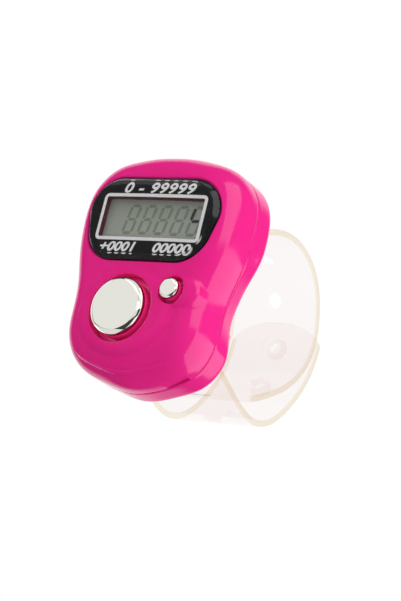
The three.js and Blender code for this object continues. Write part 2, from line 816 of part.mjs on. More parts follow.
function bandStrip() {
  const total = bandReach.at(-1);
  const rings = bandPath.map((point, i) => {
    const before = bandPath[Math.max(i - 1, 0)];
    const after = bandPath[Math.min(i + 1, bandPath.length - 1)];
    const along = after.clone().sub(before).normalize();
    const out = new THREE.Vector3(0, along.z, -along.y).multiplyScalar(bandThickness / 2);
    const end = Math.min(bandReach[i], total - bandReach[i]);
    const bow = 1 - Math.min(end / tipLength, 1);
    const half = (bandWidth / 2) * Math.sqrt(Math.max(1 - bow ** 2, tipFlatShare));
    return [[-1, -1], [1, -1], [1, 1], [-1, 1]].map(
      ([side, face]) => point.clone().addScaledVector(out, face).setX(side * half),
    );
  });
  return loft(rings);
}

// The band with a row of holes along its outer end, and studs on its inner end that stand
// through the first of them.
function fingerBand() {
  let band = bandStrip();
  const total = bandReach.at(-1);
  const face = bandThickness / 2;
  const studs = [];
  for (let k = 0; k < bandHoles; k += 1) {
    const hole = bandPlace(total - bandHoleEdge - k * bandHolePitch);
    band = band.subtract(bandDrum(hole, bandHoleRadius, -face - lapGap / 2, face + lapGap / 2));
    if (k < bandStuds) studs.push(hole);
  }
  for (const hole of studs) {
    const inner = innerLayerDistance(hole);
    band = band.add(bandDrum(hole, studRadius, -inner, face + lapGap / 2 + studHeadThickness / 2));
    band = band.add(bandDrum(
      hole, studHeadRadius, face + lapGap / 2, face + lapGap / 2 + studHeadThickness,
    ));
  }
  return band;
}

// How far inside a place on the outer end the inner end's middle line lies.
function innerLayerDistance({ point, out }) {
  const inner = bandPath.slice(0, Math.round(bandPath.length * innerEndShare));
  const offsets = inner.map((other) => point.clone().sub(other));
  const nearest = offsets.reduce((best, offset) => {
    const depth = offset.dot(out);
    const aside = offset.clone().addScaledVector(out, -depth).length();
    return aside < best.aside ? { aside, depth } : best;
  }, { aside: Infinity, depth: 0 });
  return nearest.depth;
}

// Assembly
const countTop = -countCollarProud - countProud;
const resetTop = -resetCollarProud - resetProud;
const countPill = boardLevel - pillGap - countTravel - pillThickness;
const resetPill = boardLevel - pillGap - resetTravel - pillThickness;
const filmWidth = glassWidth - 2 * filmMargin;
const filmTall = rearGlassTall - filmMargin;
const filmTop = glassTop - filmMargin / 2;

const pieces = [
  mesh('front_shell', frontShell(), pinkPlastic),
  mesh('back_shell', backShell(), pinkPlastic),
  mesh('window_lens', windowLens(), clearAcrylic),
  mesh('label_mask', labelMask(), blackPrint),
  mesh('display_front_polariser',
    displayPlate(filmWidth, filmTall, filmTop, frontWall, filmThickness), displayGrey),
  mesh('display_front_glass',
    displayPlate(glassWidth, glassTall, glassTop, glassLevel, glassThickness), displayGlass),
  mesh('display_rear_glass',
    displayPlate(glassWidth, rearGlassTall, glassTop, rearGlassLevel, glassThickness), displayGlass),
  mesh('display_reflector',
    displayPlate(filmWidth, filmTall, filmTop, reflectorLevel, filmThickness), displayGrey),
  mesh('connector_strip', connectorStrip(), greyRubber),
  mesh('circuit_board', circuitBoard(), boardGreen),
  mesh('chip_cover', chipCover(), blackEpoxy),
  mesh('count_button',
    button(countX, countHeight, countRadius, countFlange, countTop, wideFacets), chrome),
  mesh('reset_button',
    button(resetX, resetHeight, resetRadius, resetFlange, resetTop, smallFacets), chrome),
  mesh('count_dome',
    dome(countX, countHeight, countDomeFoot, countPillRadius, countPill), greyRubber),
  mesh('reset_dome',
    dome(resetX, resetHeight, resetDomeFoot, resetPillRadius, resetPill), greyRubber),
  mesh('count_contact_pill',
    drum(countX, countHeight, countPillRadius, countPill, countPill + pillThickness), blackRubber),
  mesh('reset_contact_pill',
    drum(resetX, resetHeight, resetPillRadius, resetPill, resetPill + pillThickness), blackRubber),
  mesh('cell_negative_contact', negativeContact(), steel),
  mesh('cell_positive_contact', positiveContact(), steel),
  mesh('button_cell', buttonCell(), steel),
  ...caseScrews.map((place, i) => (
    mesh(`case_screw_${i + 1}`, screw(place, screwSeat, caseScrewLength), steel)
  )),
  ...boardScrews.map((place, i) => (
    mesh(`board_screw_${i + 1}`, screw(place, boardBack, boardScrewLength), steel)
  )),
  mesh('finger_band', fingerBand(), clearRubber),
];

// The origin is the middle of the foot of the whole counter's box.
const bounds = new THREE.Box3();
pieces.forEach((piece) => bounds.expandByObject(piece));
const tallyCounter = new THREE.Group();
tallyCounter.add(...pieces);
tallyCounter.position.set(0, -(bounds.min.y + bounds.max.y) / 2, -bounds.min.z);

export default tallyCounter;
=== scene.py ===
# Digital tally counter worn on a finger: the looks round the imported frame, in metres.
# Shapes are drawn in millimetres in the casing's own frame: X to the right, Y from the flat of
# the front to the back, Z up from the middle of the casing.
import json
import math

import bmesh
import bpy
import numpy as np
from mathutils import Matrix, Vector
from mathutils.geometry import delaunay_2d_cdt

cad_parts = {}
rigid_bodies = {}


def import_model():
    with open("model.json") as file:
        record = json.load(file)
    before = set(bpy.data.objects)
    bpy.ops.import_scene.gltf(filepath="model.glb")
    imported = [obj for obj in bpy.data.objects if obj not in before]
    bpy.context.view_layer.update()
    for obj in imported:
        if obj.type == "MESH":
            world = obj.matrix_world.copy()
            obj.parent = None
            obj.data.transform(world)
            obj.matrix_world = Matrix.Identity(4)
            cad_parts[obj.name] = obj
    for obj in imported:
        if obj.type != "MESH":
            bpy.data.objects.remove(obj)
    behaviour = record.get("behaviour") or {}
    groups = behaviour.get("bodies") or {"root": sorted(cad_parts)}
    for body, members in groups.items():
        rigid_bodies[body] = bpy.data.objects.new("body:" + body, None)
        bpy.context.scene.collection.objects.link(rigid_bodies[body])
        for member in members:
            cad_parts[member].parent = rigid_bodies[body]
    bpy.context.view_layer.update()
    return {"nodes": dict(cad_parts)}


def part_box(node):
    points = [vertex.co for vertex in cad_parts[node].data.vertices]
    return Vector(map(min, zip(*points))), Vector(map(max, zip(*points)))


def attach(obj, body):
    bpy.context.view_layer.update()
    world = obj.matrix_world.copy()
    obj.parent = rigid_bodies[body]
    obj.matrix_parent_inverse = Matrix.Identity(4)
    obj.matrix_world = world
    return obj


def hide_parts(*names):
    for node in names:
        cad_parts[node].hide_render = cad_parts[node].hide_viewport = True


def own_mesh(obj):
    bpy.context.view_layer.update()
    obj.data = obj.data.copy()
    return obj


for leftover in list(bpy.data.objects):    # the start-up scene
    bpy.data.objects.remove(leftover)
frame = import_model()
nodes = frame["nodes"]
mm = 0.001

casing = {
    "width": 31.3, "height": 40.5, "depth": 12.8, "parting": 7.5, "wall": 1.8, "backWall": 1.2, "side": 1.5,
    "shoulderDepth": 6, "shoulderInset": 4, "chinInset": 5.3, "templeInset": 5, "chinShape": 1.5,
    "backDraft": 1.2, "frontFall": 0.8, "fallShape": 1.2, "heel": 1.5, "lip": 1, "lipThickness": 0.45,
    "seatGap": 0.3, "edge": 0.14, "collarSink": 1.3, "collarSteep": 30, "rimFillet": 0.25, "wellFillet": 0.45,
    "draftShares": {"shoulder": 0.35, "waist": -0.05, "hip": -0.25, "foot": -0.65},
    "outlineShares": [
        (0, 1), (0.415, 0.972), (0.759, 0.881), (0.955, 0.685), (1, 0.474), (0.994, 0.26), (0.945, 0.019),
        (0.876, -0.206), (0.863, -0.434), (0.837, -0.645), (0.671, -0.838), (0.379, -0.939), (0, -1),
    ],
}
lens = {
    "height": 7.87, "drop": 0.3, "foot": 22, "head": 28.4, "tall": 14.45, "corner": 5.7, "proud": 1,
    "back": 0.55, "seat": 0.8, "crown": 0.7, "fit": 0.2, "window": (19.3, 7.06), "windowCorner": 0.5, "round": 0.1,
    "bevelRows": [(0, 0.87), (-0.02, 0.78), (-0.74, 0.07), (-0.8, 0.025), (-0.9, 0)],    # grown by, below the face
    "net": (14, 15), "step": 0.5, "clear": 0.3,
}
countKey = {
    "x": -1.54, "z": -8.06, "radius": 5, "hole": 5.9, "flange": 6.35, "stand": 1.2, "proud": 0.35,
    "slack": 1.5, "tight": 0.4, "crown": 0.1, "plated": -0.35, "travel": 1, "step": 0.24, "soft": 0.35,
    "collarX": -0.82, "collarZ": -8.54, "across": 9.55, "tall": 7.65, "plateau": 0.75, "places": 160,
}
resetKey = {
    "x": 7.48, "z": -4.48, "radius": 1.74, "hole": 2.35, "flange": 2.8, "stand": 0.7, "proud": 0.35,
    "slack": 0.8, "tight": 0.22, "crown": 0.06, "plated": -0.3, "travel": 0.8, "step": 0.2, "soft": 0.22,
    "collarX": 8.89, "collarZ": -4.63, "across": 3.8, "tall": 3.35, "plateau": 0.35, "places": 96,
}

keys = [countKey, resetKey]
fairing = {"samples": 1440, "waves": 17, "refine": 4, "spanSteps": 80, "fine": 4800, "places": 320}

# The casing's frame in the row frame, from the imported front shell.
shellLow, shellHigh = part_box("front_shell")
frontFlat = shellHigh.y / mm - casing["parting"]
casingMiddle = (shellLow.z + shellHigh.z) / 2 / mm


def inRow(points):
    return (np.asarray(points, float) + (0, frontFlat, casingMiddle)) * mm


def unit(vector):
    return vector / np.linalg.norm(vector)


def smoothstep(value, low, high):
    share = np.clip((value - low) / (high - low), 0, 1)
    return share * share * (3 - 2 * share)


# Curves

def curveSpan(p0, p1, p2, p3, count):    # one span of a centripetal spline, from p1 to p2
    d0, d1, d2 = (max(np.linalg.norm(b - a), 1e-9) ** 0.5 for a, b in ((p0, p1), (p1, p2), (p2, p3)))
    t1 = ((p1 - p0) / d0 - (p2 - p0) / (d0 + d1) + (p2 - p1) / d1) * d1
    t2 = ((p2 - p1) / d1 - (p3 - p1) / (d1 + d2) + (p3 - p2) / d2) * d1
    t = np.linspace(0, 1, count, endpoint=False)[:, None]
    return p1 + t1 * t + (-3 * p1 + 3 * p2 - 2 * t1 - t2) * t**2 + (2 * p1 - 2 * p2 + t1 + t2) * t**3


def reachAlong(line):    # distance along a line at each of its points
    return np.r_[0, np.cumsum(np.linalg.norm(np.diff(line, axis=0), axis=1))]


def evenly(line, count, closed):    # points at even steps along a line
    reach = reachAlong(line)
    places = np.linspace(0, reach[-1], count, endpoint=not closed)
    return np.column_stack([np.interp(places, reach, line[:, k]) for k in (0, 1)])


def splineThrough(knots, closed, count):    # evenly spaced points on a spline through the knots
    knots = [np.asarray(k, float) for k in knots]
    if closed:
        line = knots[-1:] + knots + knots[:2]
    else:
        line = [2 * knots[0] - knots[1]] + knots + [2 * knots[-1] - knots[-2]]
    spans = [curveSpan(*line[i:i + 4], fairing["spanSteps"]) for i in range(len(line) - 3)]
    return evenly(np.vstack([*spans, line[-2]]), count, closed)


def outwards(points):    # unit normals of a closed plan curve that runs clockwise
    along = np.roll(points, -1, 0) - np.roll(points, 1, 0)
    along /= np.linalg.norm(along, axis=1)[:, None]
    return np.column_stack([-along[:, 1], along[:, 0]])


def makeOutline(count):
    waves, refine = fairing["waves"], fairing["refine"]
    right = np.array(casing["outlineShares"]) * (casing["width"] / 2, casing["height"] / 2)
    left = right[-2:0:-1] * (-1, 1)
    line = splineThrough([*right, *left], True, fairing["samples"])
    wave = np.fft.fft(line[:, 0] + 1j * line[:, 1])
    slow = np.zeros(refine * len(wave), complex)    # the fair curve keeps the slow waves only
    slow[:waves + 1], slow[-waves:] = refine * wave[:waves + 1], refine * wave[-waves:]
    fair = np.fft.ifft(slow)
    ring = np.column_stack([fair.real, fair.imag])
    return evenly(np.vstack([ring, ring[:1]]), count, True)


# Casing form

def frontInset(out):
    c = casing
    chin = np.maximum(0, -out[:, 1]) ** c["chinShape"]
    temple = np.maximum(0, 2 * np.abs(out[:, 0]) * out[:, 1])
    return c["shoulderInset"] + chin * (c["chinInset"] - c["shoulderInset"]) + temple * (
        c["templeInset"] - c["shoulderInset"])


def leans(point, out):    # how far a place leans in at the back
    c, s = casing, casing["draftShares"]
    height = 2 * point[:, 1] / c["height"]
    below = smoothstep(-height, -s["shoulder"], -s["waist"]) * np.abs(out[:, 0])
    return below * smoothstep(height, s["foot"], s["hip"]) * c["backDraft"]


def fallAt(z):
    return casing["frontFall"] * np.maximum(0, -2 * z / casing["height"]) ** casing["fallShape"]


fineOutline = makeOutline(fairing["fine"])
fineOut = outwards(fineOutline)
fineInset = frontInset(fineOut)
outline = makeOutline(fairing["places"])
out = outwards(outline)
backLean = leans(outline, out)


def nearest(spots, fixed, chunk=2000):    # the fixed point nearest to each spot, and its squared distance
    index, squares = [], []
    for start in range(0, len(spots), chunk):
        far = ((spots[start:start + chunk, None, :] - fixed[None]) ** 2).sum(2)
        index.append(far.argmin(1))
        squares.append(far.min(1))
    return np.concatenate(index), np.concatenate(squares)


def casingFront(x, z):    # level of the front over plan points, by their distance in from the outline
    spots = np.column_stack([x, z])
    near, _ = nearest(spots, fineOutline)
    depth = ((fineOutline[near] - spots) * fineOut[near]).sum(1)
    angle = np.arcsin(np.clip(1 - depth / fineInset[near], 0, 1))
    here = casing["shoulderDepth"] * (1 - np.cos(angle))
    return here + fallAt(z) * (1 - here / casing["parting"])


def collarLevel(x, z, key):    # a flat oval round a well, then a quarter ellipse down to its foot
    rise = key["proud"] + casing["collarSink"]
    reach = np.hypot((x - key["collarX"]) / key["across"], (z - key["collarZ"]) / key["tall"])
    share = np.clip((reach - key["plateau"]) / (1 - key["plateau"]), 0, 1)
    bulge = rise * (1 - np.sqrt(1 - np.minimum(share, 0.999) ** 2)) - key["proud"]
    return bulge + np.maximum(reach - 1, 0) * casing["collarSteep"]


def blended(a, b, soft):
    gap = np.maximum(soft - np.abs(a - b), 0) / soft
    return np.minimum(a, b) - gap * gap * soft / 4


def frontLevel(x, z):
    level = casingFront(x, z)
    for key in keys:
        level = blended(level, collarLevel(x, z, key), key["soft"])
    return level


def casingRing(level, inset=0, fall=0):    # the outline at one level, set in
    c = casing
    lean = backLean * max(0, level - c["parting"]) / (c["depth"] - c["parting"])
    plan = outline - out * (inset + lean)[:, None]
    drop = fall * fallAt(plan[:, 1]) * max(0, 1 - level / c["parting"])
    return np.column_stack([plan[:, 0], level + drop, plan[:, 1]])


# Meshes

def circle(x, z, radius, count):
    angle = np.linspace(0, 2 * math.pi, count, endpoint=False)
    return np.column_stack([x + radius * np.cos(angle), z + radius * np.sin(angle)])


def atLevel(plan, level):
    return np.column_stack([plan[:, 0], np.broadcast_to(level, len(plan)), plan[:, 1]])


def insideLoop(spots, loop):    # which plan points lie inside a closed loop
    x, z = spots[:, 0][:, None], spots[:, 1][:, None]
    ax, az = loop[:, 0][None], loop[:, 1][None]
    bx, bz = np.roll(loop[:, 0], -1)[None], np.roll(loop[:, 1], -1)[None]
    crosses = (az > z) != (bz > z)
    slope = np.where(crosses, (bx - ax) * (z - az) / np.where(bz == az, 1, bz - az) + ax, 0)
    return (crosses & (x < slope)).sum(1) % 2 == 1


def clearOf(spots, fixed, gap):
    return spots[nearest(spots, fixed)[1] > gap * gap]


def skin(border, holes, level, spots=()):    # plan region between loops, triangulated and lifted
    plan, edges = [], []
    for loop in [border, *holes]:
        first = len(plan)
        plan += [tuple(p) for p in loop]
        edges += [(first + i, first + (i + 1) % len(loop)) for i in range(len(loop))]
    plan += [tuple(p) for p in spots]
    result = delaunay_2d_cdt([Vector(p) for p in plan], edges, [], 0, 1e-6)
    flatPoints = np.array([tuple(v) for v in result[0]])
    faces = np.array([f for f in result[2] if len(f) == 3])
    middles = flatPoints[faces].mean(1)
    a, b, d = (flatPoints[faces[:, k]] for k in range(3))
    areas = np.abs((b[:, 0] - a[:, 0]) * (d[:, 1] - a[:, 1]) - (b[:, 1] - a[:, 1]) * (d[:, 0] - a[:, 0]))
    keep = insideLoop(middles, border) & (areas > 1e-6)
    for hole in holes:
        keep &= ~insideLoop(middles, hole)
    height = level(flatPoints[:, 0], flatPoints[:, 1]) if callable(level) else level
    return atLevel(flatPoints, height), [tuple(int(i) for i in f) for f in faces[keep]]


def strip(rings, caps=0):    # closed rings joined side by side, with the last one or both ends capped
    count, last = len(rings[0]), len(rings[0]) * (len(rings) - 1)
    faces = [(first + i, first + j, first + count + j, first + count + i)
             for first in range(0, last, count) for i, j in enumerate([*range(1, count), 0])]
    if caps:
        faces.append(tuple(range(last, last + count)))
    if caps == 2:
        faces.append(tuple(reversed(range(count))))
    return np.vstack(rings), faces


def halved(many):    # triangles between every other point of a ring and the whole ring
    few = many[::2]
    count = len(few)
    faces = [(i, count + 2 * i, count + 2 * i + 1) for i in range(count)]
    faces += [(i, count + 2 * i + 1, (i + 1) % count) for i in range(count)]
    faces += [((i + 1) % count, count + 2 * i + 1, count + (2 * i + 2) % (2 * count)) for i in range(count)]
    return np.vstack([few, many]), faces


def lathed(rows, x=0, z=0, count=48):    # (radius, level) rows turned about an axis along Y, closed
    return strip([atLevel(circle(x, z, r, count), y) for r, y in rows], caps=2)


def addObject(name, data):
    piece = bpy.data.objects.new(name, data)
    bpy.context.scene.collection.objects.link(piece)
    return piece


def merged(name, parts, material, smooth=40):    # parts of one piece, joined where they meet
    points, faces = [], []
    for partPoints, partFaces in parts:
        first = sum(map(len, points))
        points.append(partPoints)
        faces += [tuple(first + i for i in f) for f in partFaces]
    mesh = bpy.data.meshes.new(name)
    mesh.from_pydata(inRow(np.vstack(points)).tolist(), [], faces)
    work = bmesh.new()
    work.from_mesh(mesh)
    bmesh.ops.remove_doubles(work, verts=work.verts, dist=2e-6)
    bmesh.ops.dissolve_degenerate(work, edges=work.edges, dist=1e-8)
    bmesh.ops.recalc_face_normals(work, faces=work.faces)
    openEdges = sum(len(e.link_faces) != 2 for e in work.edges)
    work.to_mesh(mesh)
    work.free()
    mesh.shade_smooth()
    mesh.set_sharp_from_angle(angle=math.radians(smooth))
    mesh.materials.append(material)
    print(f"{name}: {len(mesh.polygons)} faces, {openEdges} open edges")
    return addObject(name, mesh)


def evaluated(piece):    # the plain mesh that its modifiers or its curve make
    return bpy.data.meshes.new_from_object(piece.evaluated_get(bpy.context.evaluated_depsgraph_get()))


def combine(piece, tool, operation, smooth=40):    # a boolean, applied, and its tool removed
    join = piece.modifiers.new(operation, "BOOLEAN")
    join.operation, join.solver, join.object = operation, "EXACT", tool
    applied = evaluated(piece)
    piece.modifiers.clear()
    piece.data = applied
    bpy.data.objects.remove(tool)
    piece.data.set_sharp_from_angle(angle=math.radians(smooth))


def copiesAt(name, source, places, material):    # one copy of a model on each place, by Geometry Nodes
    tree = bpy.data.node_groups.new(name, "GeometryNodeTree")
    labels = ("Places", "Model")
    sockets = [tree.interface.new_socket(s, in_out="INPUT", socket_type="NodeSocketObject") for s in labels]
    tree.interface.new_socket("Geometry", in_out="OUTPUT", socket_type="NodeSocketGeometry")
    given = tree.nodes.new("NodeGroupInput").outputs
    spots, shape = (addNode(tree, "GeometryNodeObjectInfo", {"Object": given[s]})["Geometry"] for s in labels)
    copies = addNode(tree, "GeometryNodeInstanceOnPoints", {"Points": spots, "Instance": shape})["Instances"]
    real = addNode(tree, "GeometryNodeRealizeInstances", {"Geometry": copies})["Geometry"]
    painted = addNode(tree, "GeometryNodeSetMaterial", {"Geometry": real, "Material": material})["Geometry"]
    addNode(tree, "NodeGroupOutput", {"Geometry": painted})
    mesh = bpy.data.meshes.new(name + "Places")
    mesh.from_pydata(inRow(places).tolist(), [], [])
    points = addObject(name + "Places", mesh)
    holder = addObject(name, bpy.data.meshes.new(name))
    change = holder.modifiers.new(name, "NODES")
    change.node_group = tree
    for socket, value in zip(sockets, (points, source)):
        change[socket.identifier] = value
    applied = evaluated(holder)
    holder.modifiers.clear()
    holder.data = applied
    for used in (points, source):
        bpy.data.objects.remove(used)
    print(f"{name}: {len(applied.polygons)} faces")
    return holder


def atOrigin(model):    # moved from the casing's frame, to be copied to its places
    model.data.transform(Matrix.Translation(-Vector(inRow([(0, 0, 0)])[0])))
    return model


def finish(piece, slot, *replaced, body="casing"):
    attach(piece, body)
    if replaced:
        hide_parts(*replaced)
    return piece


# Materials

def toLinear(hexCode):
    parts = [int(hexCode[i:i + 2], 16) / 255 for i in (0, 2, 4)]
    return tuple(p / 12.92 if p <= 0.04045 else ((p + 0.055) / 1.055) ** 2.4 for p in parts) + (1,)


def addNode(tree, kind, links=None, **settings):    # a node with its settings and links; gives its outputs
    node = tree.nodes.new(kind)
    for name, value in settings.items():
        setattr(node, name, value)
    for socket, value in (links or {}).items():
        if isinstance(value, bpy.types.NodeSocket):
            tree.links.new(value, node.inputs[socket])
        else:
            node.inputs[socket].default_value = value
    return node.outputs


def vary(tree, place, size, detail, low, high):    # noise with grains of that many mm, as a plain range of values
    noise = addNode(tree, "ShaderNodeTexNoise", {"Vector": place, "Scale": 1 / (size * mm), "Detail": detail})
    links = {"Value": noise["Fac"], "From Min": 0.3, "From Max": 0.7, "To Min": low, "To Max": high}
    return addNode(tree, "ShaderNodeMapRange", links)["Result"]


def surface(name, colour, roughness, scuff=None, bump=None, tints=None, **values):
    # A Principled material. scuff: a pattern of the roughness. bump: grain, detail, strength and height.
    # tints: a first colour, then each pattern with the colour that it brings. A pattern is a function or
    # vary's grain, detail and range.
    material = bpy.data.materials.new(name)
    material.use_nodes = True
    tree = material.node_tree
    shader = tree.nodes["Principled BSDF"].inputs
    for socket, value in {"Base_Color": toLinear(colour), "Roughness": roughness, **values}.items():
        shader[socket.replace("_", " ")].default_value = value
    place = addNode(tree, "ShaderNodeTexCoord")["Object"]

    def drawn(pattern):
        return pattern(tree, place) if callable(pattern) else vary(tree, place, *pattern)

    if scuff:
        tree.links.new(drawn(scuff), shader["Roughness"])
    if bump:
        size, detail, strength, height = bump
        noise = addNode(tree, "ShaderNodeTexNoise", {"Vector": place, "Scale": 1 / (size * mm), "Detail": detail})
        links = {"Height": noise["Fac"], "Strength": strength, "Distance": height * mm}
        tree.links.new(addNode(tree, "ShaderNodeBump", links)["Normal"], shader["Normal"])
    if tints:
        shade = toLinear(tints[0])
        for pattern, brought in tints[1:]:
            links = {"Factor": drawn(pattern), "A": shade, "B": toLinear(brought)}
            shade = addNode(tree, "ShaderNodeMix", links, data_type="RGBA")["Result"]
        tree.links.new(shade, shader["Base Color"])
    return material


# Places in the row frame: half widths at the strap's edge, heights of the display's painted shade at the window, and
# the cell's axis.
marks = {"edge": (8.7 * mm, 9 * mm), "window": (25 * mm, 32 * mm), "cellAxis": 16.25 * mm}


def strapEdge(tree, place):    # from the strap's flat to its edges, by the distance from its middle
    across, (low, high) = addNode(tree, "ShaderNodeSeparateXYZ", {0: place})["X"], marks["edge"]
    side = addNode(tree, "ShaderNodeMath", {0: across}, operation="ABSOLUTE")[0]
    return addNode(tree, "ShaderNodeMapRange", {"Value": side, "From Min": low, "From Max": high})["Result"]


def paintedWindowShade(tree, place):    # painted shade, from none at the foot of the display's window to full at its head
    height, (low, high) = addNode(tree, "ShaderNodeSeparateXYZ", {0: place})["Z"], marks["window"]
    return addNode(tree, "ShaderNodeMapRange", {"Value": height, "From Min": low, "From Max": high})["Result"]


def rubberLayers(tree, place):    # stacked along the strip's length
    links = {"Vector": place, "Scale": 650, "Distortion": 0.3}
    return addNode(tree, "ShaderNodeTexWave", links, bands_direction="X")["Fac"]


def copperTracks(tree, place):
    turned = addNode(tree, "ShaderNodeMapping", {"Vector": place, "Rotation": (math.pi / 2, 0, 0)})[0]
    greys = {name: (v, v, v, 1) for name, v in (("Color1", 0), ("Color2", 0.25), ("Mortar", 1))}
    return addNode(tree, "ShaderNodeTexBrick", {"Vector": turned, "Scale": 400, "Mortar Size": 0.09, **greys})["Color"]


def rollingMarks(tree, place):    # along the strip
    drawn = addNode(tree, "ShaderNodeMapping", {"Vector": place, "Scale": (6000, 6000, 300)})[0]
    return vary(tree, drawn, 1 / mm, 2, 0.2, 0.36)


def ringScuffs(tree, place):    # round the cell's axis
    middle = addNode(tree, "ShaderNodeMapping", {"Vector": place, "Location": (0, 0, -marks["cellAxis"])})[0]
    links = {"Vector": middle, "Scale": 900, "Distortion": 2, "Detail": 2}
    rings = addNode(tree, "ShaderNodeTexWave", links, wave_type="RINGS", rings_direction="Y")["Fac"]
    return addNode(tree, "ShaderNodeMapRange", {"Value": rings, "To Min": 0.2, "To Max": 0.34})["Result"]


print("tally counter: frame loaded,", len(nodes), "nodes")

# Glossy injection-moulded ABS: a saturated body with a faint ripple that softens reflections.
pink = surface("gloss_pink_abs", "EF248A", 0.12, (2.5, 1, 0.09, 0.15), (6, 0, 0.06, 0.15), IOR=1.5)
# The same pink, painted darker as painted shade, where the window's walls lie in the label's shade.
shaded = surface("shaded_pink_abs", "6A2A3E", 0.5, (0.5, 2, 0.4, 0.6))
# Cast acrylic lens: water-clear with a hard gloss, and its edges catch the light.
acrylic = surface("clear_acrylic", "FFFFFF", 0.02, bump=(8, 0, 0.03, 0.1), IOR=1.49, Transmission_Weight=1)
# Screen-printed black behind the lens: dense, hardly any sheen.
black = surface("black_screen_print", "0E0F12", 0.5, (0.3, 2, 0.45, 0.6))
# White ink, a little uneven in its film.
ink = surface("white_ink", "FBFAFB", 0.5, tints=("F4F2F4", ((0.25, 2, 0, 1), "FFFFFF")))
# Chrome over a moulded cap: a mirror with a trace of orange peel.
chrome = surface("chrome_plating", "EAEAE2", 0.05, bump=(3, 0, 0.04, 0.05), Metallic=1)
# Unplated resin of the caps' flanges: pink, with a satin face from the mould.
resin = surface("unplated_cap_resin", "F4308C", 0.4, (1, 2, 0.3, 0.45))
# Clear soft vinyl: almost colourless, straw in its thick edges, with a faint haze and drag marks.
clear = surface(
    "clear_soft_vinyl", "FCF8F7", 0.1, (5, 2, 0.05, 0.15), (4, 1, 0.12, 0.2), ("FCF8F7", (strapEdge, "EBDCC0")),
    IOR=1.0, Transmission_Weight=1, Coat_Weight=0.22, Coat_Roughness=0.2)
# Nickel-plated steel with fine turning marks.
steel = surface("nickel_plated_steel", "BFC1C2", 0.3, (0.25, 3, 0.22, 0.4), (0.25, 3, 0.1, 0.03), Metallic=1)
# Liquid crystal between the glasses: a tint that darkens where the segment is driven.
faintSegment = surface("segment_off", "4C5A3E", 0.6, bump=(0.1, 2, 0.05, 0.01), Alpha=0.17)
litSegment = surface("segment_driven", "1C1F22", 0.6, bump=(0.1, 2, 0.05, 0.01), Alpha=0.5)
# The display seen through its front film: grey-green, with painted shade that darkens it towards its top, where the
# window's edge shades it.
face = surface("display_face_film", "B0B6A8", 0.35, IOR=1.4, tints=(
    "BCC2B8", (paintedWindowShade, "9AA197"), ((0.12, 3, 0, 0.15), "8A9082")))
# Thin soda-lime glass with a green cast in its edges.
glass = surface("display_glass", "D4DCD2", 0.05, bump=(6, 0, 0.02, 0.02), Alpha=0.02, Specular_IOR_Level=0.1)
# Aluminised film behind the display's glass: grey, with a fine grain.
foil = surface("reflector_film", "AEB2AA", 0.45, bump=(0.15, 2, 0.08, 0.01), Metallic=0.6)
# Connector strip: dark conducting carbon layers between pale insulating ones.
layered = surface("layered_rubber", "6C6668", 0.7, tints=("2A292B", (rubberLayers, "B7A9A6")))
# Translucent grey silicone of the return domes, dusted matt.
silicone = surface(
    "silicone_rubber", "A7A6A2", 0.6, (0.6, 2, 0.5, 0.75), (0.15, 3, 0.15, 0.02),
    Subsurface_Weight=0.15, Subsurface_Radius=(mm, mm, mm))
# Carbon-filled rubber of the contact pills: black and dull.
carbon = surface("carbon_rubber", "1E1E20", 0.8, bump=(0.1, 3, 0.25, 0.02))
# Green solder mask with copper tracks showing through, over glass weave.
laminate = surface(
    "board_laminate", "1F6B40", 0.35, bump=(0.4, 2, 0.1, 0.03), tints=("18573A", (copperTracks, "3E8A52")))
# Black epoxy dropped over the chip, with a slack surface.
epoxy = surface("cast_epoxy", "131417", 0.22, bump=(2, 1, 0.2, 0.1))
# Rolled and plated contact strip, its marks along the strip.
spring = surface("spring_steel", "C6C4BC", 0.28, rollingMarks, Metallic=1)
# Button cell can: nickel-plated, scuffed in rings round its axis.
can = surface("cell_can_steel", "CBCCCA", 0.25, ringScuffs, Metallic=1)

for material, carried in (
    (face, ["display_front_polariser"]), (glass, ["display_front_glass", "display_rear_glass"]),
    (foil, ["display_reflector"]), (layered, ["connector_strip"]), (laminate, ["circuit_board"]),
    (epoxy, ["chip_cover"]), (carbon, ["count_contact_pill", "reset_contact_pill"]),
    (spring, ["cell_negative_contact", "cell_positive_contact"]), (can, ["button_cell"]),
):
    for node in carried:
        nodes[node].material_slots[0].material = material


def roundedLoop(corners, radius, grow=0.0, facets=8, step=0.4):    # a convex outline, its corners rounded
    corners = [np.array(c, float) for c in corners]
    arcs = []
    for i, tip in enumerate(corners):
        before, after = unit(corners[i - 1] - tip), unit(corners[(i + 1) % len(corners)] - tip)
        half = math.acos(before @ after) / 2
        centre = tip + unit(before + after) * radius / math.sin(half)
        reach = radius / math.tan(half)
        start, stop = (math.atan2(*(tip + side * reach - centre)[::-1]) for side in (before, after))
        angle = start + math.atan2(math.sin(stop - start), math.cos(stop - start)) * np.arange(facets + 1) / facets
        arcs.append((centre + (radius + grow) * np.column_stack([np.cos(angle), np.sin(angle)]), reach))
    loop = []
    for i, (arc, reach) in enumerate(arcs):
        j = (i + 1) % len(arcs)
        straight = np.linalg.norm(corners[j] - corners[i]) - reach - arcs[j][1]
        loop += [arc, np.linspace(arc[-1], arcs[j][0][0], max(1, round(straight / step)) + 1)[1:-1]]
    return np.vstack(loop)


def lensLoop(grow=0.0):
    head = lens["height"] - lens["drop"] + lens["tall"] / 2
    foot = head - lens["tall"]
    low, high = lens["foot"] / 2, lens["head"] / 2
    return roundedLoop([(-low, foot), (low, foot), (high, head), (-high, head)], lens["corner"], grow, 24)


def boxLoop(wide, tall, middle, corner, grow=0.0, facets=6):
    x, low, high = wide / 2, middle - tall / 2, middle + tall / 2
    return roundedLoop([(-x, low), (x, low), (x, high), (-x, high)], corner, grow, facets)


def windowLoop():
    return boxLoop(*lens["window"], lens["height"], lens["windowCorner"])


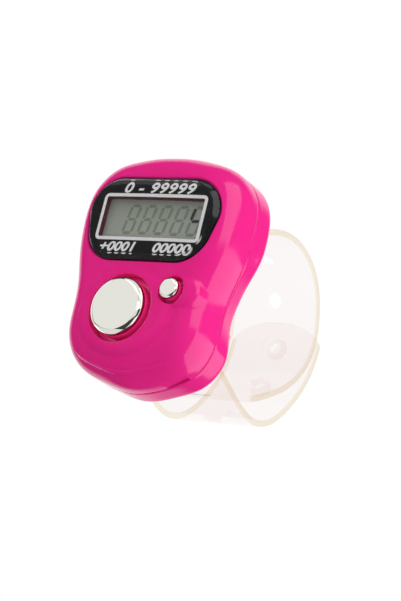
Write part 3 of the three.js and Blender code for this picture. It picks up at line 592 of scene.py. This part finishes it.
screws = {
    "case": [(0.269, 0.374), (0.231, -0.354)], "board": [(0.325, -0.014)], "boss": 1.6, "backBoss": 2.2,
    "pilot": 0.9, "mouth": 1.5, "seat": 11.3, "casePilotEnd": 5.1, "boardPilotEnd": 3.2, "boardLevel": 5.6,
    "boardSeat": 6.4,
}
for kind in ("case", "board"):    # shares of the casing's size turned to places on both sides
    screws[kind] = [(s * a * casing["width"], b * casing["height"]) for a, b in screws[kind] for s in (-1, 1)]


def hexGrid(low, high, step, loop):    # plan points in offset rows inside a loop
    rows, columns = np.arange(low[1], high[1], step * 0.866), np.arange(low[0], high[0], step)
    spots = np.array([(x + (k % 2) * step / 2, z) for k, z in enumerate(rows) for x in columns])
    return spots[insideLoop(spots, loop)]


def collarSpots(key):    # ovals round a well, from inside its rim to past the collar's foot
    centre, size = (np.array([key[a], key[b]]) for a, b in (("collarX", "collarZ"), ("across", "tall")))
    shares = np.arange(*front["collarReach"], -key["step"] / key["across"])
    spots = np.vstack([centre + s * size * circle(0, 0, 1, key["places"]) for s in shares])
    rim = key["hole"] + casing["wellFillet"] + front["clearWell"]
    return spots[np.hypot(spots[:, 0] - key["x"], spots[:, 1] - key["z"]) > rim]


def filletRows(loopAt, top, depth, steps=4):    # rows of a rounded rim, from the skin down into an opening
    turn = np.arange(steps + 1) / steps * math.pi / 2
    return [atLevel(loopAt(depth * (1 - math.sin(a))), top + depth * (1 - math.cos(a))) for a in turn]


# The rings down the shoulder in degrees, the net's step with its shares of clearance, the small rounds and
# the pry notch: places on the outline, depths and heights.
front = {
    "crown": (0, 8, 15, 21, 27, 33, 38, 43, 47, 51, 54, 57), "border": 60, "shoulder": (66, 72, 78, 84, 90),
    "step": 0.36, "clear": 0.6, "clearEdge": 0.35, "clearCollar": 0.2, "clearWell": 0.12, "collarReach": (1.08, 0.2),
    "wellSteps": 6, "bossPlaces": 32,
    "sideDrops": (1, 0.4), "cornerRise": 0.4, "cornerInset": 0.3,
    "notch": [(131, -0.36), (144, -0.02)], "notchTall": (1.8, 3), "notchPast": 2, "notchBelow": 0.5,
}


def buildFrontShell():
    c, f = casing, front
    step, fillet = f["step"], c["rimFillet"]
    inset = frontInset(out)

    def shoulderRing(degrees):
        angle = math.radians(degrees)
        return casingRing(c["shoulderDepth"] * (1 - math.cos(angle)), (1 - math.sin(angle)) * inset, 1)

    # The front: the crown, the shoulder and the collars, with openings for the lens and the keys.
    border = shoulderRing(f["border"])
    plan = border[::2, ::2]
    recess = lensLoop(lens["fit"] + fillet)
    wells = [circle(k["x"], k["z"], k["hole"] + c["wellFillet"], k["places"]) for k in keys]
    rings = [shoulderRing(a)[::2, ::2] for a in f["crown"]]
    grid = hexGrid((-c["width"] / 2, -c["height"] / 2), (c["width"] / 2, c["height"] / 2), step, rings[0])
    spots, clear = collarSpots(resetKey), step * f["clear"]
    for more, gap in ((collarSpots(countKey), f["clearCollar"]), (np.vstack(rings), clear), (grid, clear)):
        spots = np.vstack([spots, clearOf(more, spots, gap)])
    spots = spots[insideLoop(spots, plan)]
    for hole in [recess, *wells]:
        spots = spots[~insideLoop(spots, hole)]
    spots = clearOf(spots, np.vstack([plan, recess, *wells]), step * f["clearEdge"])
    parts = [skin(plan, [recess, *wells], frontLevel, spots)]

    # The side below the shoulder, the edge at the parting line, the rebate and the inside.
    border[:, 1] = frontLevel(border[:, 0], border[:, 2])
    part, edge = c["parting"], c["edge"]
    rebate, foot = c["side"] - c["lipThickness"] - c["seatGap"], part - c["lip"] - c["seatGap"]
    side = [border, *map(shoulderRing, f["shoulder"])]
    side += [casingRing(*row) for row in (
        *((part - drop, 0, 1) for drop in (*f["sideDrops"], edge)), (part - edge * 0.5, edge * 0.2, 1),
        (part - edge * 0.25, edge * 0.65, 1), (part - edge * 0.2, rebate), (foot, rebate), (foot, c["side"]),
        (c["wall"] + f["cornerRise"], c["side"]), (c["wall"], c["side"] + f["cornerInset"]))]
    floor = side[-1][::2, ::2]
    parts += [halved(border), strip(side), halved(side[-1])]

    # The recess for the lens, with its floor round the window.
    top = frontLevel(recess[:, 0], recess[:, 1])
    loops = filletRows(lambda grow: lensLoop(lens["fit"] + grow), top, fillet)
    inner = lensLoop(lens["fit"])
    parts.append(strip([*loops, atLevel(inner, lens["seat"])]))
    parts.append(skin(inner, [windowLoop()], lens["seat"]))
    parts.append(strip([atLevel(windowLoop(), lens["seat"]), atLevel(windowLoop(), c["wall"])]))

    # The wells, down to the inner face.
    feet = []
    for key, loop in zip(keys, wells):
        def well(grow, key=key):
            return circle(key["x"], key["z"], key["hole"] + grow, key["places"])
        top = frontLevel(loop[:, 0], loop[:, 1])
        rows = filletRows(well, top, c["wellFillet"], f["wellSteps"])
        parts.append(strip([*rows, atLevel(well(0), c["wall"])]))
        feet.append(well(0))

    # The inner face and the screw bosses on it.
    bosses = []
    for places, end, pilotEnd in ((screws["case"], part, screws["casePilotEnd"]),
                                  (screws["board"], screws["boardLevel"], screws["boardPilotEnd"])):
        for x, z in places:
            wide, pilot = (circle(x, z, screws[r], f["bossPlaces"]) for r in ("boss", "pilot"))
            rows = [(wide, c["wall"]), (wide, end), (pilot, end), (pilot, pilotEnd)]
            parts.append(strip([atLevel(plan, level) for plan, level in rows], caps=1))
            bosses.append(wide)
    parts.append(skin(floor, [windowLoop(), *feet, *bosses], c["wall"]))
    shell = merged("frontShell", parts, pink)

    # A shallow pry notch by the seam, steep at its right end and fading out to the left.
    seam = casingRing(part, 0, 1)
    right, left = (seam[i, ::2] + out[i] * deep for i, deep in f["notch"])
    plan = [right, left, *(spot + out[f["notch"][k][0]] * f["notchPast"] for spot, k in ((left, 1), (right, 0)))]
    tops = [part - f["notchTall"][k] for k in (0, 1, 1, 0)]
    rings = [atLevel(np.array(plan), levels) for levels in (tops, part + f["notchBelow"])]
    combine(shell, merged("pryCut", [strip(rings, caps=2)], pink), "DIFFERENCE")
    # The window's walls, between the lens seat and the inner face, take the pink with painted shade.
    shell.data.materials.append(shaded)
    half = [size / 2 + 0.02 for size in lens["window"]]
    for side in shell.data.polygons:
        x, y, z = (np.array(side.center) / mm) - (0, frontFlat, casingMiddle)
        walls = abs(x) < half[0] and abs(z - lens["height"]) < half[1] and lens["seat"] < y < c["wall"]
        side.material_index = int(walls)
    finish(shell, "pink_shell", "front_shell")


buildFrontShell()


# Back shell
bridges = {
    "height": 8, "tall": 3, "half": 10.6, "leg": 1.2, "root": 11.3, "inner": 14.6, "top": 16.2, "corner": 1.3,
    "edge": 0.3,
}
backForm = {
    "net": (13, 18), "step": 1.2, "clear": 0.6, "corner": 0.6, "overrun": 0.5, "mouthEdge": 0.12,
    "sideRises": (0.8, 2), "postHole": 0.2, "postSink": (0.1, 0.3), "bore": 0.1,
}


def bridgeRings(height):    # a bar over the band on two legs, swept along its height with rounded edges
    b = bridges

    def section(grow):
        turn = np.radians(np.linspace(0, 90, 9))
        centre = (b["half"] - b["corner"], b["top"] - b["corner"])
        arc = np.column_stack([centre[0] + (b["corner"] + grow) * np.cos(turn),
                               centre[1] + (b["corner"] + grow) * np.sin(turn)])
        inside = b["half"] - b["leg"] - grow
        right = [(inside, b["root"]), (b["half"] + grow, b["root"]), *arc]
        left = [(-x, y) for x, y in right[::-1]]
        return np.array([*right, *left, (-inside, b["inner"] - grow), (inside, b["inner"] - grow)])

    end, edge = b["tall"] / 2, b["edge"]
    profile = [(-end, -edge), (-end + edge * 0.3, -edge * 0.3), (-end + edge, 0),
               (end - edge, 0), (end - edge * 0.3, -edge * 0.3), (end, -edge)]
    rings = []
    for along, grow in profile:
        loop = section(grow)
        rings.append(np.column_stack([loop, np.full(len(loop), height + along)]))
    return strip(rings, caps=2)


def buildBackShell():
    c, f, s = casing, backForm, screws
    part, edge, heel = c["parting"], c["edge"], c["heel"]
    back, inner, lip = c["depth"], c["depth"] - c["backWall"], part - c["lip"]
    seam, tongue = part + edge * 0.2, c["side"] - c["lipThickness"]
    outer = [casingRing(*row) for row in (
        (seam, f["overrun"]), (part + edge * 0.25, edge * 0.65), (part + edge * 0.5, edge * 0.2),
        *((part + rise,) for rise in (edge, *f["sideRises"])), (back - heel - f["corner"],),
        *((back - heel * (1 - math.sin(a)), heel * (1 - math.cos(a))) for a in np.radians(np.linspace(0, 90, 10))))]
    inside = [outer[0]] + [casingRing(*row) for row in (
        (seam, tongue), (lip, tongue), (lip, c["side"]), (part, c["side"]),
        (part + f["sideRises"][-1], c["side"]), (inner - f["corner"], c["side"]), (inner, c["side"] + f["corner"]))]
    parts = [strip(outer), strip(inside), halved(outer[-1]), halved(inside[-1])]
    flat = outer[-1][::2, ::2]
    grid = clearOf(hexGrid([-reach for reach in f["net"]], f["net"], f["step"], flat), flat, f["clear"])
    parts += [skin(flat, [], back, grid), skin(inside[-1][::2, ::2], [], inner)]
    shell = merged("backShell", parts, pink)
    low, high = part + f["postSink"][0], inner + f["postSink"][1]
    post = [(f["postHole"], low), (s["backBoss"], low), (s["backBoss"], high), (f["postHole"], high)]
    mouth, lead, past = s["mouth"], f["mouthEdge"], back + f["overrun"]
    bore = [(f["bore"], lip), (s["pilot"], lip), (s["pilot"], s["seat"]), (mouth, s["seat"]), (mouth, back - lead),
            (mouth + lead / 4, back - lead / 4), (mouth + lead, back), (mouth + lead, past), (f["bore"], past)]
    combine(shell, merged("posts", [lathed(post, x, z) for x, z in s["case"]], pink), "UNION")
    combine(shell, merged("bores", [lathed(bore, x, z) for x, z in s["case"]], pink), "DIFFERENCE")
    for k, side in enumerate((-1, 1)):
        combine(shell, merged(f"bridge{k + 1}", [bridgeRings(side * bridges["height"])], pink), "UNION")
    print("backShell with bridges:", len(shell.data.polygons), "faces")
    finish(shell, "pink_shell", "back_shell")


buildBackShell()


# Lens: a raised clear plate with a bevelled rim, its face falling back to both sides.
def buildLens():
    back, top, small, bevel = lens["back"], -lens["proud"], lens["round"], lens["bevelRows"]

    def row(grow, level, share=1.0):
        plan = lensLoop(grow)
        return atLevel(plan, level + share * lens["crown"] * (2 * plan[:, 0] / lens["head"]) ** 2)

    rows = [row(-small, back, 0), row(0, back - small, 0), *(row(grow, top + below) for grow, below in bevel)]
    plan = lensLoop(bevel[-1][0])
    grid = clearOf(hexGrid((-lens["net"][0], 0), lens["net"], lens["step"], plan), plan, lens["clear"])
    face = skin(plan, [], lambda x, z: top + lens["crown"] * (2 * x / lens["head"]) ** 2, grid)
    piece = merged("windowLens", [strip(rows[::-1], caps=1), face], acrylic, smooth=20)
    return finish(piece, "clear_lens", "window_lens")


windowLens = buildLens()


def flatPlate(name, border, holes, level, thickness, material, smooth=30):    # a thin plate with holes
    parts = [skin(border, holes, y) for y in (level, level + thickness)]
    parts += [strip([atLevel(loop, level), atLevel(loop, level + thickness)]) for loop in [border, *holes]]
    return merged(name, parts, material, smooth)


printed = {
    "mask": (0.6, 0.2), "level": 0.575, "thickness": 0.025, "frame": (20.5, 8.3), "line": 0.58, "corner": 0.9,
    "slant": 0.25, "bold": 0.07, "stretch": 1.3,
}
mask = flatPlate("labelMask", lensLoop(), [windowLoop()], *printed["mask"], black)
finish(mask, "black_label", "label_mask")
frameLoops = [boxLoop(*printed["frame"], lens["height"], printed["corner"], grow) for grow in (0, -printed["line"])]
frameLine = flatPlate("frameLine", frameLoops[0], frameLoops[1:], printed["level"], printed["thickness"], ink)
finish(frameLine, "black_label")


def lettering(name, words, x, z, size, spread):
    curve = bpy.data.curves.new(name, "FONT")
    for setting, value in {
        "body": words, "size": size, "align_x": "CENTER", "align_y": "CENTER", "shear": printed["slant"],
        "space_character": spread, "resolution_u": 8, "offset": printed["bold"], "extrude": printed["thickness"] / 2,
    }.items():
        setattr(curve, setting, value)
    text = addObject(name, curve)
    mesh = evaluated(text)
    bpy.data.objects.remove(text)
    middle = printed["level"] + printed["thickness"] / 2
    spots = inRow([(x + v.co.x * printed["stretch"], middle - v.co.z, z + v.co.y) for v in mesh.vertices])
    for v, spot in zip(mesh.vertices, spots):
        v.co = spot
    mesh.materials.clear()
    mesh.materials.append(ink)
    finish(addObject(name, mesh), "black_label")


lettering("rangeLabel", "0 - 99999", 0.2, 12.95, 2.5, 1.1)
lettering("addLabel", "+0001", -5.3, 2.5, 2.2, 1)
lettering("zeroLabel", "00000", 5.3, 2.5, 2.2, 1)
windowLens.visible_shadow = False    # lamps reach the label and the display through it
print("tally counter: window done")


# Display: five slanted seven-segment digits behind the front glass, faint where they are off.
digits = {
    "count": 5, "pitch": 3.1, "wide": 1.75, "tall": 4.8, "stroke": 0.55, "gap": 0.1, "slant": 0.18, "middle": 1.7,
    "level": 1.78, "lift": 0.06, "thickness": 0.01,
}


def segmentPlate(a, b, stroke, gap):    # one six-cornered bar from a to b
    along = unit(b - a)
    across = np.array([-along[1], along[0]]) * stroke / 2
    a, b = a + along * gap, b - along * gap
    tip = along * stroke / 2
    return np.array([a, a + tip + across, b - tip + across, b, b - tip - across, a + tip - across])


def digitMesh(name, lit, material):
    d = digits
    bars = {"top": (-1, 1, 1, 1), "middle": (-1, 0, 1, 0), "bottom": (-1, -1, 1, -1), "upperLeft": (-1, 0, -1, 1),
            "upperRight": (1, 0, 1, 1), "lowerLeft": (-1, -1, -1, 0), "lowerRight": (1, -1, 1, 0)}
    parts = []
    for bar in lit or bars:
        ends = np.reshape(bars[bar], (2, 2)) * (d["wide"] / 2, d["tall"] / 2)
        plan = segmentPlate(*ends, d["stroke"], d["gap"])
        plan[:, 0] += plan[:, 1] * d["slant"]
        parts.append(strip([atLevel(plan, 0), atLevel(plan, d["thickness"])], caps=2))
    return atOrigin(merged(name, parts, material))


def buildDigits():
    d = digits
    first = d["middle"] - d["pitch"] * (d["count"] - 1) / 2
    spots = [(first + k * d["pitch"], d["level"], lens["height"]) for k in range(d["count"])]
    ghost = digitMesh("ghostDigit", None, faintSegment)
    finish(copiesAt("ghostDigits", ghost, spots, faintSegment), "display_film")
    lit = digitMesh("litDigit", ["upperLeft", "middle"], litSegment)
    finish(copiesAt("litSegments", lit, [np.subtract(spots[-1], (0, d["lift"], 0))], litSegment), "display_film")


buildDigits()


# Keys: chromed caps with a rounded edge over a straight skirt, and the flange that holds them in.
cap = {"thick": 0.77, "round": 0.08, "bend": math.radians(40), "pole": 0.02, "face": (0.12, 1, 10), "bends": (8, 7)}


def buildKey(name, key, node, body):
    top = -key["proud"] - key["stand"]
    flange = casing["wall"] + casing["seatGap"]
    foot, wide, small, bend = flange + cap["thick"], key["flange"], cap["round"], cap["bend"]
    r, slack, tight = key["radius"], key["slack"], key["tight"]
    inside = r - slack * math.sin(bend) - tight * (1 - math.sin(bend))
    rows = [(cap["pole"], top - key["crown"])]
    rows += [(s * inside, top - key["crown"] * (1 - s * s)) for s in np.linspace(*cap["face"])]
    wideTurn, tightTurn = (np.linspace(*ends, count)[1:] for ends, count in zip(
        ((0, bend), (bend, math.pi / 2)), cap["bends"]))
    rows += [(inside + slack * math.sin(a), top + slack * (1 - math.cos(a))) for a in wideTurn]
    fallen = top + slack * (1 - math.cos(bend))
    rows += [(r - tight + tight * math.sin(a), fallen + tight * (math.cos(bend) - math.cos(a))) for a in tightTurn]
    rows += [(r, key["plated"]), (r, flange), (wide - small, flange), (wide, flange + small), (wide, foot - small),
             (wide - small, foot), (cap["pole"], foot)]
    piece = merged(name, [lathed(rows, key["x"], key["z"], 128)], chrome, smooth=50)
    piece.data.materials.append(resin)
    for side in piece.data.polygons:
        side.material_index = int(side.center.y / mm - frontFlat > key["plated"])
    return finish(piece, "chromed_cap", node, body=body)


countCap = buildKey("countCap", countKey, "count_button", "count_key")
resetCap = buildKey("resetCap", resetKey, "reset_button", "reset_key")


# Return domes: silicone bells between the keys and the board; the real ones flatten as their keys go down.
domeForm = {"wall": 0.4, "shoulder": 0.45, "knee": 0.3, "ankle": 0.8, "round": 0.15, "roundInner": 0.04}


def buildDome(name, key, node, pill):
    (low, high), (pillLow, pillHigh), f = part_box(node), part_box(pill), domeForm
    wall = f["wall"]
    foot, core = (high.x - low.x) / mm / 2, (pillHigh.x - pillLow.x) / mm / 2 + wall / 2
    top, board, seat = (place.y / mm - frontFlat for place in (low, high, pillLow))
    shoulder, ankle = core + (foot - core) * f["shoulder"], foot - wall / 2
    knee, heel = (top + (board - top) * f[share] for share in ("knee", "ankle"))
    rows = [(cap["pole"], top), (shoulder - f["round"], top), (shoulder - f["roundInner"], top + f["roundInner"]),
            (shoulder, top + f["round"]), (shoulder, knee), (ankle, heel), (foot, board), (foot - wall * 1.5, board),
            (ankle - wall, heel), (core, knee + wall), (core, seat), (cap["pole"], seat)]
    piece = merged(name, [lathed(rows, key["x"], key["z"], 64)], silicone, smooth=50)
    finish(piece, "grey_rubber", node)
    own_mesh(piece)


buildDome("countDome", countKey, "count_dome", "count_contact_pill")
buildDome("resetDome", resetKey, "reset_dome", "reset_contact_pill")
print("tally counter: keys done")


# Finger band: a clear strap bent into a ring, its outer end lying over the inner one on two studs.
band = {
    "width": 18.2, "thickness": 1.2, "lapGap": 0.35, "depth": 31.6, "drop": 0.45, "halfHeight": 17, "tip": 4.2,
    "tipFlat": 0.1, "hole": 1.5, "pitch": 8.2, "firstHole": 4.6, "holes": 4, "studs": 2, "stud": 1.15, "lapStart": 6,
    "straight": 9.5, "seat": 13.7, "headSteps": 150, "footSteps": 130, "edge": 0.42, "thinTip": 0.55, "thinRun": 1.2,
    "holeRows": [(0.5, -0.5), (0.1, 0.1), (0, 0.25)],    # wider by, and inside the strap's face by
    "studRows": [(1.9, 0), (2, 0.12), (1.85, 0.45), (1.5, 0.6), (0.05, 0.65)],    # radius, above the head's foot
    "headShares": [
        (0.387, -0.824), (0.517, -0.748), (0.659, -0.618), (0.814, -0.435), (0.92, -0.24), (0.982, -0.035),
        (1, 0.15), (0.985, 0.345), (0.935, 0.59), (0.866, 0.765), (0.775, 0.89), (0.665, 0.97), (0.54, 0.995),
        (0.405, 0.955), (0.27, 0.86), (0.145, 0.735), (0.06, 0.645),
    ],
    "footShares": [
        (0.06, -0.645), (0.135, -0.695), (0.25, -0.785), (0.37, -0.88), (0.47, -0.94), (0.56, -0.962),
        (0.66, -0.925), (0.74, -0.855), (0.82, -0.735), (0.91, -0.545), (0.98, -0.345), (1.027, -0.13),
    ],
}


def ringPoint(share):    # (level, height) of a place on the band's middle line
    return np.array([casing["depth"] + share[0] * band["depth"], share[1] * band["halfHeight"] - band["drop"]])


def lapPoint(share, after):
    here = ringPoint(share)
    along = unit(ringPoint(after) - here)
    return here + np.array([along[1], -along[0]]) * (band["thickness"] + band["lapGap"])


def bandPath():
    b = band
    head = [*map(ringPoint, b["headShares"]), (b["seat"], b["straight"]), (b["seat"], b["straight"] / 2)]
    lap = [lapPoint(b["headShares"][i], b["headShares"][i + 1]) for i in (b["lapStart"], b["lapStart"] + 1)]
    foot = [(b["seat"], -b["straight"] / 2), (b["seat"], -b["straight"]), *map(ringPoint, b["footShares"]), *lap]
    return np.vstack([splineThrough(head, False, b["headSteps"]), splineThrough(foot, False, b["footSteps"])])


path = bandPath()
pathReach = reachAlong(path)
pathAlong = np.gradient(path, axis=0)
pathAlong /= np.linalg.norm(pathAlong, axis=1)[:, None]


def bandPlace(distance):    # a place on the middle line with its direction along and out
    here, along = (np.array([np.interp(distance, pathReach, line[:, k]) for k in (0, 1)]) for line in (path, pathAlong))
    along = unit(along)
    return here, along, np.array([along[1], -along[0]])


def bandStrip():
    b, edge, turn, rings = band, band["edge"], np.radians([0, 30, 60, 90]), []
    for here, along, reach in zip(path, pathAlong, pathReach):
        end = min(reach, pathReach[-1] - reach)
        bow = 1 - min(end / b["tip"], 1)
        half = b["width"] / 2 * math.sqrt(max(1 - bow**2, b["tipFlat"]))
        thick = b["thickness"] / 2 * min(1, b["thinTip"] + end / b["thinRun"])
        corner = []
        for sx, sy in ((1, 1), (-1, 1), (-1, -1), (1, -1)):
            for a in turn if sx * sy > 0 else turn[::-1]:
                corner.append((sx * (half - edge + edge * math.cos(a)), sy * (thick - edge + edge * math.sin(a))))
        rings.append(np.array([(x, here[0] + along[1] * y, here[1] - along[0] * y) for x, y in corner]))
    return strip(rings, caps=2)


def bandDrum(distance, rows, count=40):    # (radius, height) rows turned about the band's outward direction
    here, along, outward = bandPlace(distance)
    rings = []
    for radius, height in rows:
        across, side = circle(0, 0, radius, count).T
        spot = here + outward * height
        rings.append(np.column_stack([across, spot[0] + along[0] * side, spot[1] + along[1] * side]))
    return strip(rings, caps=2)


def buildBand():
    b = band
    total, face, hole = pathReach[-1], b["thickness"] / 2, b["hole"]
    places = [total - b["firstHole"] - k * b["pitch"] for k in range(b["holes"])]
    bore = [(hole + grow, inside - face) for grow, inside in b["holeRows"]]
    bore += [(radius, -height) for radius, height in bore[::-1]]
    strap = merged("fingerBand", [bandStrip()], clear, smooth=60)
    inner = path[pathReach < total / 4]
    here, along, _ = bandPlace(places[0])
    below = np.abs((inner - here) @ along).argmin()
    places += [pathReach[below] + k * b["pitch"] for k in (1, 2)]
    combine(strap, merged("bandHoles", [bandDrum(place, bore) for place in places], clear), "DIFFERENCE")
    studs, low = [], face + b["lapGap"] / 2
    for place in places[:b["studs"]]:
        here, along, outward = bandPlace(place)
        depth = ((here - inner) @ outward)[np.abs((inner - here) @ along).argmin()]
        head = [(radius, low + rise) for radius, rise in b["studRows"]]
        studs.append(bandDrum(place, [(head[-1][0], -depth), (b["stud"], -depth), (b["stud"], low), *head]))
    combine(strap, merged("bandStuds", studs, clear), "UNION", smooth=50)
    print("fingerBand:", len(strap.data.polygons), "faces")
    finish(strap, "clear_band", "finger_band")


buildBand()


# Screws: pan heads with a cross recess, copied to their places by Geometry Nodes.
screw = {
    "head": 1.3, "thick": 0.9, "shank": 0.7, "root": 0.82, "pitch": 0.5, "start": 0.3, "plain": 1, "tip": 0.7,
    "cross": (1.25, 0.3), "crossCorner": 0.08, "crossFloor": 0.35, "crossPast": 1.05,
    "headShares": [(0.55, 0.97), (0.85, 0.78), (0.97, 0.5), (1, 0.3), (1, 0)],
}


def screwModel(name, length, seat):
    s = screw
    shank, root, pitch, thick = s["shank"], s["shank"] * s["root"], s["pitch"], s["thick"]
    rows = [(0.05, -thick)] + [(s["head"] * out, -thick * up) for out, up in s["headShares"]] + [(shank, 0)]
    for k in range(int((length - s["plain"]) / pitch)):
        y = s["start"] + k * pitch
        rows += [(shank, y), (root, y + pitch * 0.25), (root, y + pitch * 0.6), (shank, y + pitch * 0.85)]
    rows += [(shank, length - s["tip"]), (shank * 0.3, length), (0.05, length)]
    model = merged(name, [lathed([(r, seat - y) for r, y in rows], 0, 0, 40)], steel, smooth=35)
    for wide, tall in (s["cross"], s["cross"][::-1]):
        loop = boxLoop(wide, tall, 0, s["crossCorner"], facets=3)
        bar = strip([atLevel(loop, seat + thick * share) for share in (s["crossFloor"], s["crossPast"])], caps=2)
        combine(model, merged("crossRecess", [bar], steel), "DIFFERENCE")
    return atOrigin(model)


for name, length, seat, places, replaced in (
    ("case", 6, screws["seat"], screws["case"], (1, 2, 3, 4)),
    ("board", 3, screws["boardSeat"], screws["board"], (1, 2)),
):
    model = screwModel(name + "ScrewModel", length, seat)
    copies = copiesAt(name + "Screws", model, [(x, 0, z) for x, z in places], steel)
    finish(copies, "plated_steel", *(f"{name}_screw_{k}" for k in replaced))
print("tally counter: band and screws done")

camera = bpy.data.cameras.new("camera")
view = {
    "place": (198.27, -265.255, -96.962), "aim": (8.537, 7.333, -3.567), "roll": 13.85, "focal": 126.5456, "film": 36,
}
camera.lens, camera.sensor_width = view["focal"], view["film"]
eye, aim = (Vector(p) for p in inRow([view["place"], view["aim"]]))
level = (aim - eye).to_track_quat("-Z", "Y").to_matrix().to_4x4()
holder = addObject("camera", camera)
holder.matrix_world = Matrix.Translation(eye) @ level @ Matrix.Rotation(math.radians(view["roll"]), 4, "Z")
bpy.context.scene.camera = holder

studio = {
    "centre": (0, 6, 0), "distance": 0.45, "backdrop": (-0.55, 0.79, 0.27), "backdropEdge": (0.55, 0.8),
    "dark": 0.05, "fill": 0.52, "floorGlow": 0.5, "floorHalf": 1.2,
    "softboxes": {    # direction, size in metres, radiance
        "highBox": ((0.728, -0.237, 0.643), (0.36, 0.58), 1.45),
        "lowBox": ((0.84, 0.392, -0.375), (0.63, 0.5), 1.45),
    },
    "tent": {
        "faceCard": ((-0.6, -0.73, 0.33), (0.62, 0.5), 0.88), "topCard": ((0.15, -0.5, 0.86), (0.7, 0.42), 0.8),
        "leftCard": ((-0.95, 0.3, 0.0), (0.5, 0.8), 0.8), "footCard": ((-0.62, -0.28, -0.73), (0.8, 0.62), 0.8),
        "frontCard": ((0.2, -0.97, 0.11), (0.28, 0.24), 0.8), "chinCard": ((0.66, -0.46, -0.6), (0.38, 0.34), 0.9),
        "sideCard": ((0.45, -0.8, 0.4), (0.4, 0.26), 0.9),
    },
    "frontFill": ((-0.3, -0.9, 0.3), (0.5, 0.5), 0.75),
}


def addLamp(name, direction, size, radiance, shiny=True):
    lamp = bpy.data.lights.new(name, "AREA")
    lamp.shape = "RECTANGLE"
    lamp.size, lamp.size_y = size
    lamp.energy = radiance * math.pi * size[0] * size[1]
    holder = addObject(name, lamp)
    away = Vector(direction).normalized()
    holder.location = Vector(inRow([studio["centre"]])[0]) + away * studio["distance"]
    holder.rotation_euler = away.to_track_quat("Z", "Y").to_euler()
    holder.visible_camera = holder.visible_transmission = False
    holder.visible_glossy = shiny
    return holder


for name, lamp in studio["softboxes"].items():
    addLamp(name, *lamp)
addLamp("frontFill", *studio["frontFill"], shiny=False)

# Pale cards that only the chromed caps see, as in a light tent that is open towards the camera.
caps = bpy.data.collections.new("chromedCaps")
for piece in (countCap, resetCap):
    caps.objects.link(piece)
for name, lamp in studio["tent"].items():
    addLamp(name, *lamp).light_linking.receiver_collection = caps


def buildFloor():    # a pale floor, seen from above only
    material = surface("pale_floor", "F4F4F3", 0.8, bump=(2, 2, 0.05, 0.1))
    tree = material.node_tree
    below = addNode(tree, "ShaderNodeNewGeometry")["Backfacing"]
    rays = addNode(tree, "ShaderNodeLightPath")
    links = {0: rays["Is Camera Ray"], 1: rays["Is Transmission Ray"]}
    seen = addNode(tree, "ShaderNodeMath", links, operation="MAXIMUM")[0]
    glow = addNode(tree, "ShaderNodeMath", {0: seen, 1: studio["floorGlow"]}, operation="MULTIPLY")[0]
    white = addNode(tree, "ShaderNodeEmission")[0]
    lit = tree.nodes["Principled BSDF"].outputs["BSDF"]
    pale = addNode(tree, "ShaderNodeMixShader", {0: glow, 1: lit, 2: white})[0]
    through = addNode(tree, "ShaderNodeBsdfTransparent")[0]
    mix = addNode(tree, "ShaderNodeMixShader", {0: below, 1: pale, 2: through})[0]
    tree.links.new(mix, tree.nodes["Material Output"].inputs["Surface"])
    mesh = bpy.data.meshes.new("floor")
    half = studio["floorHalf"]
    mesh.from_pydata([(-half, -half, 0), (half, -half, 0), (half, half, 0), (-half, half, 0)], [], [(0, 1, 2, 3)])
    mesh.materials.append(material)
    piece = addObject("floor", mesh)
    piece.visible_glossy = piece.visible_diffuse = piece.visible_shadow = False


def buildWorld():    # white to the camera and through clear pieces, a dim room with a white backdrop in reflections
    world = bpy.data.worlds.new("studio")
    bpy.context.scene.world = world
    world.use_nodes = True
    tree = world.node_tree
    rays = addNode(tree, "ShaderNodeLightPath")
    direction = addNode(tree, "ShaderNodeTexCoord")["Generated"]
    links = {0: direction, 1: studio["backdrop"]}
    facing = addNode(tree, "ShaderNodeVectorMath", links, operation="DOT_PRODUCT")["Value"]
    low, high = studio["backdropEdge"]
    links = {"Value": facing, "From Min": low, "From Max": high, "To Min": studio["dark"], "To Max": 1}
    room = addNode(tree, "ShaderNodeMapRange", links, interpolation_type="SMOOTHSTEP")["Result"]
    depth = addNode(tree, "ShaderNodeSeparateXYZ", {0: direction})["Y"]
    tested = [(rays["Diffuse Depth"], 0.5), (rays["Glossy Depth"], 0.5), (rays["Transmission Depth"], 0.5), (depth, 0)]
    lit, shone, through, onwards = (
        addNode(tree, "ShaderNodeMath", {0: value, 1: past}, operation="GREATER_THAN")[0] for value, past in tested)
    spared = addNode(tree, "ShaderNodeMath", {0: through, 1: onwards}, operation="MULTIPLY")[0]
    shone = addNode(tree, "ShaderNodeMath", {0: shone, 1: spared}, operation="SUBTRACT", use_clamp=True)[0]
    plain = addNode(tree, "ShaderNodeMix", {"Factor": lit, "A": 1, "B": studio["fill"]})[0]
    level = addNode(tree, "ShaderNodeMix", {"Factor": shone, "A": plain, "B": room})[0]
    tree.links.new(level, tree.nodes["Background"].inputs["Strength"])
    tree.nodes["Background"].inputs["Color"].default_value = (1, 1, 1, 1)


buildFloor()
buildWorld()
bpy.context.scene.view_settings.view_transform = "Standard"
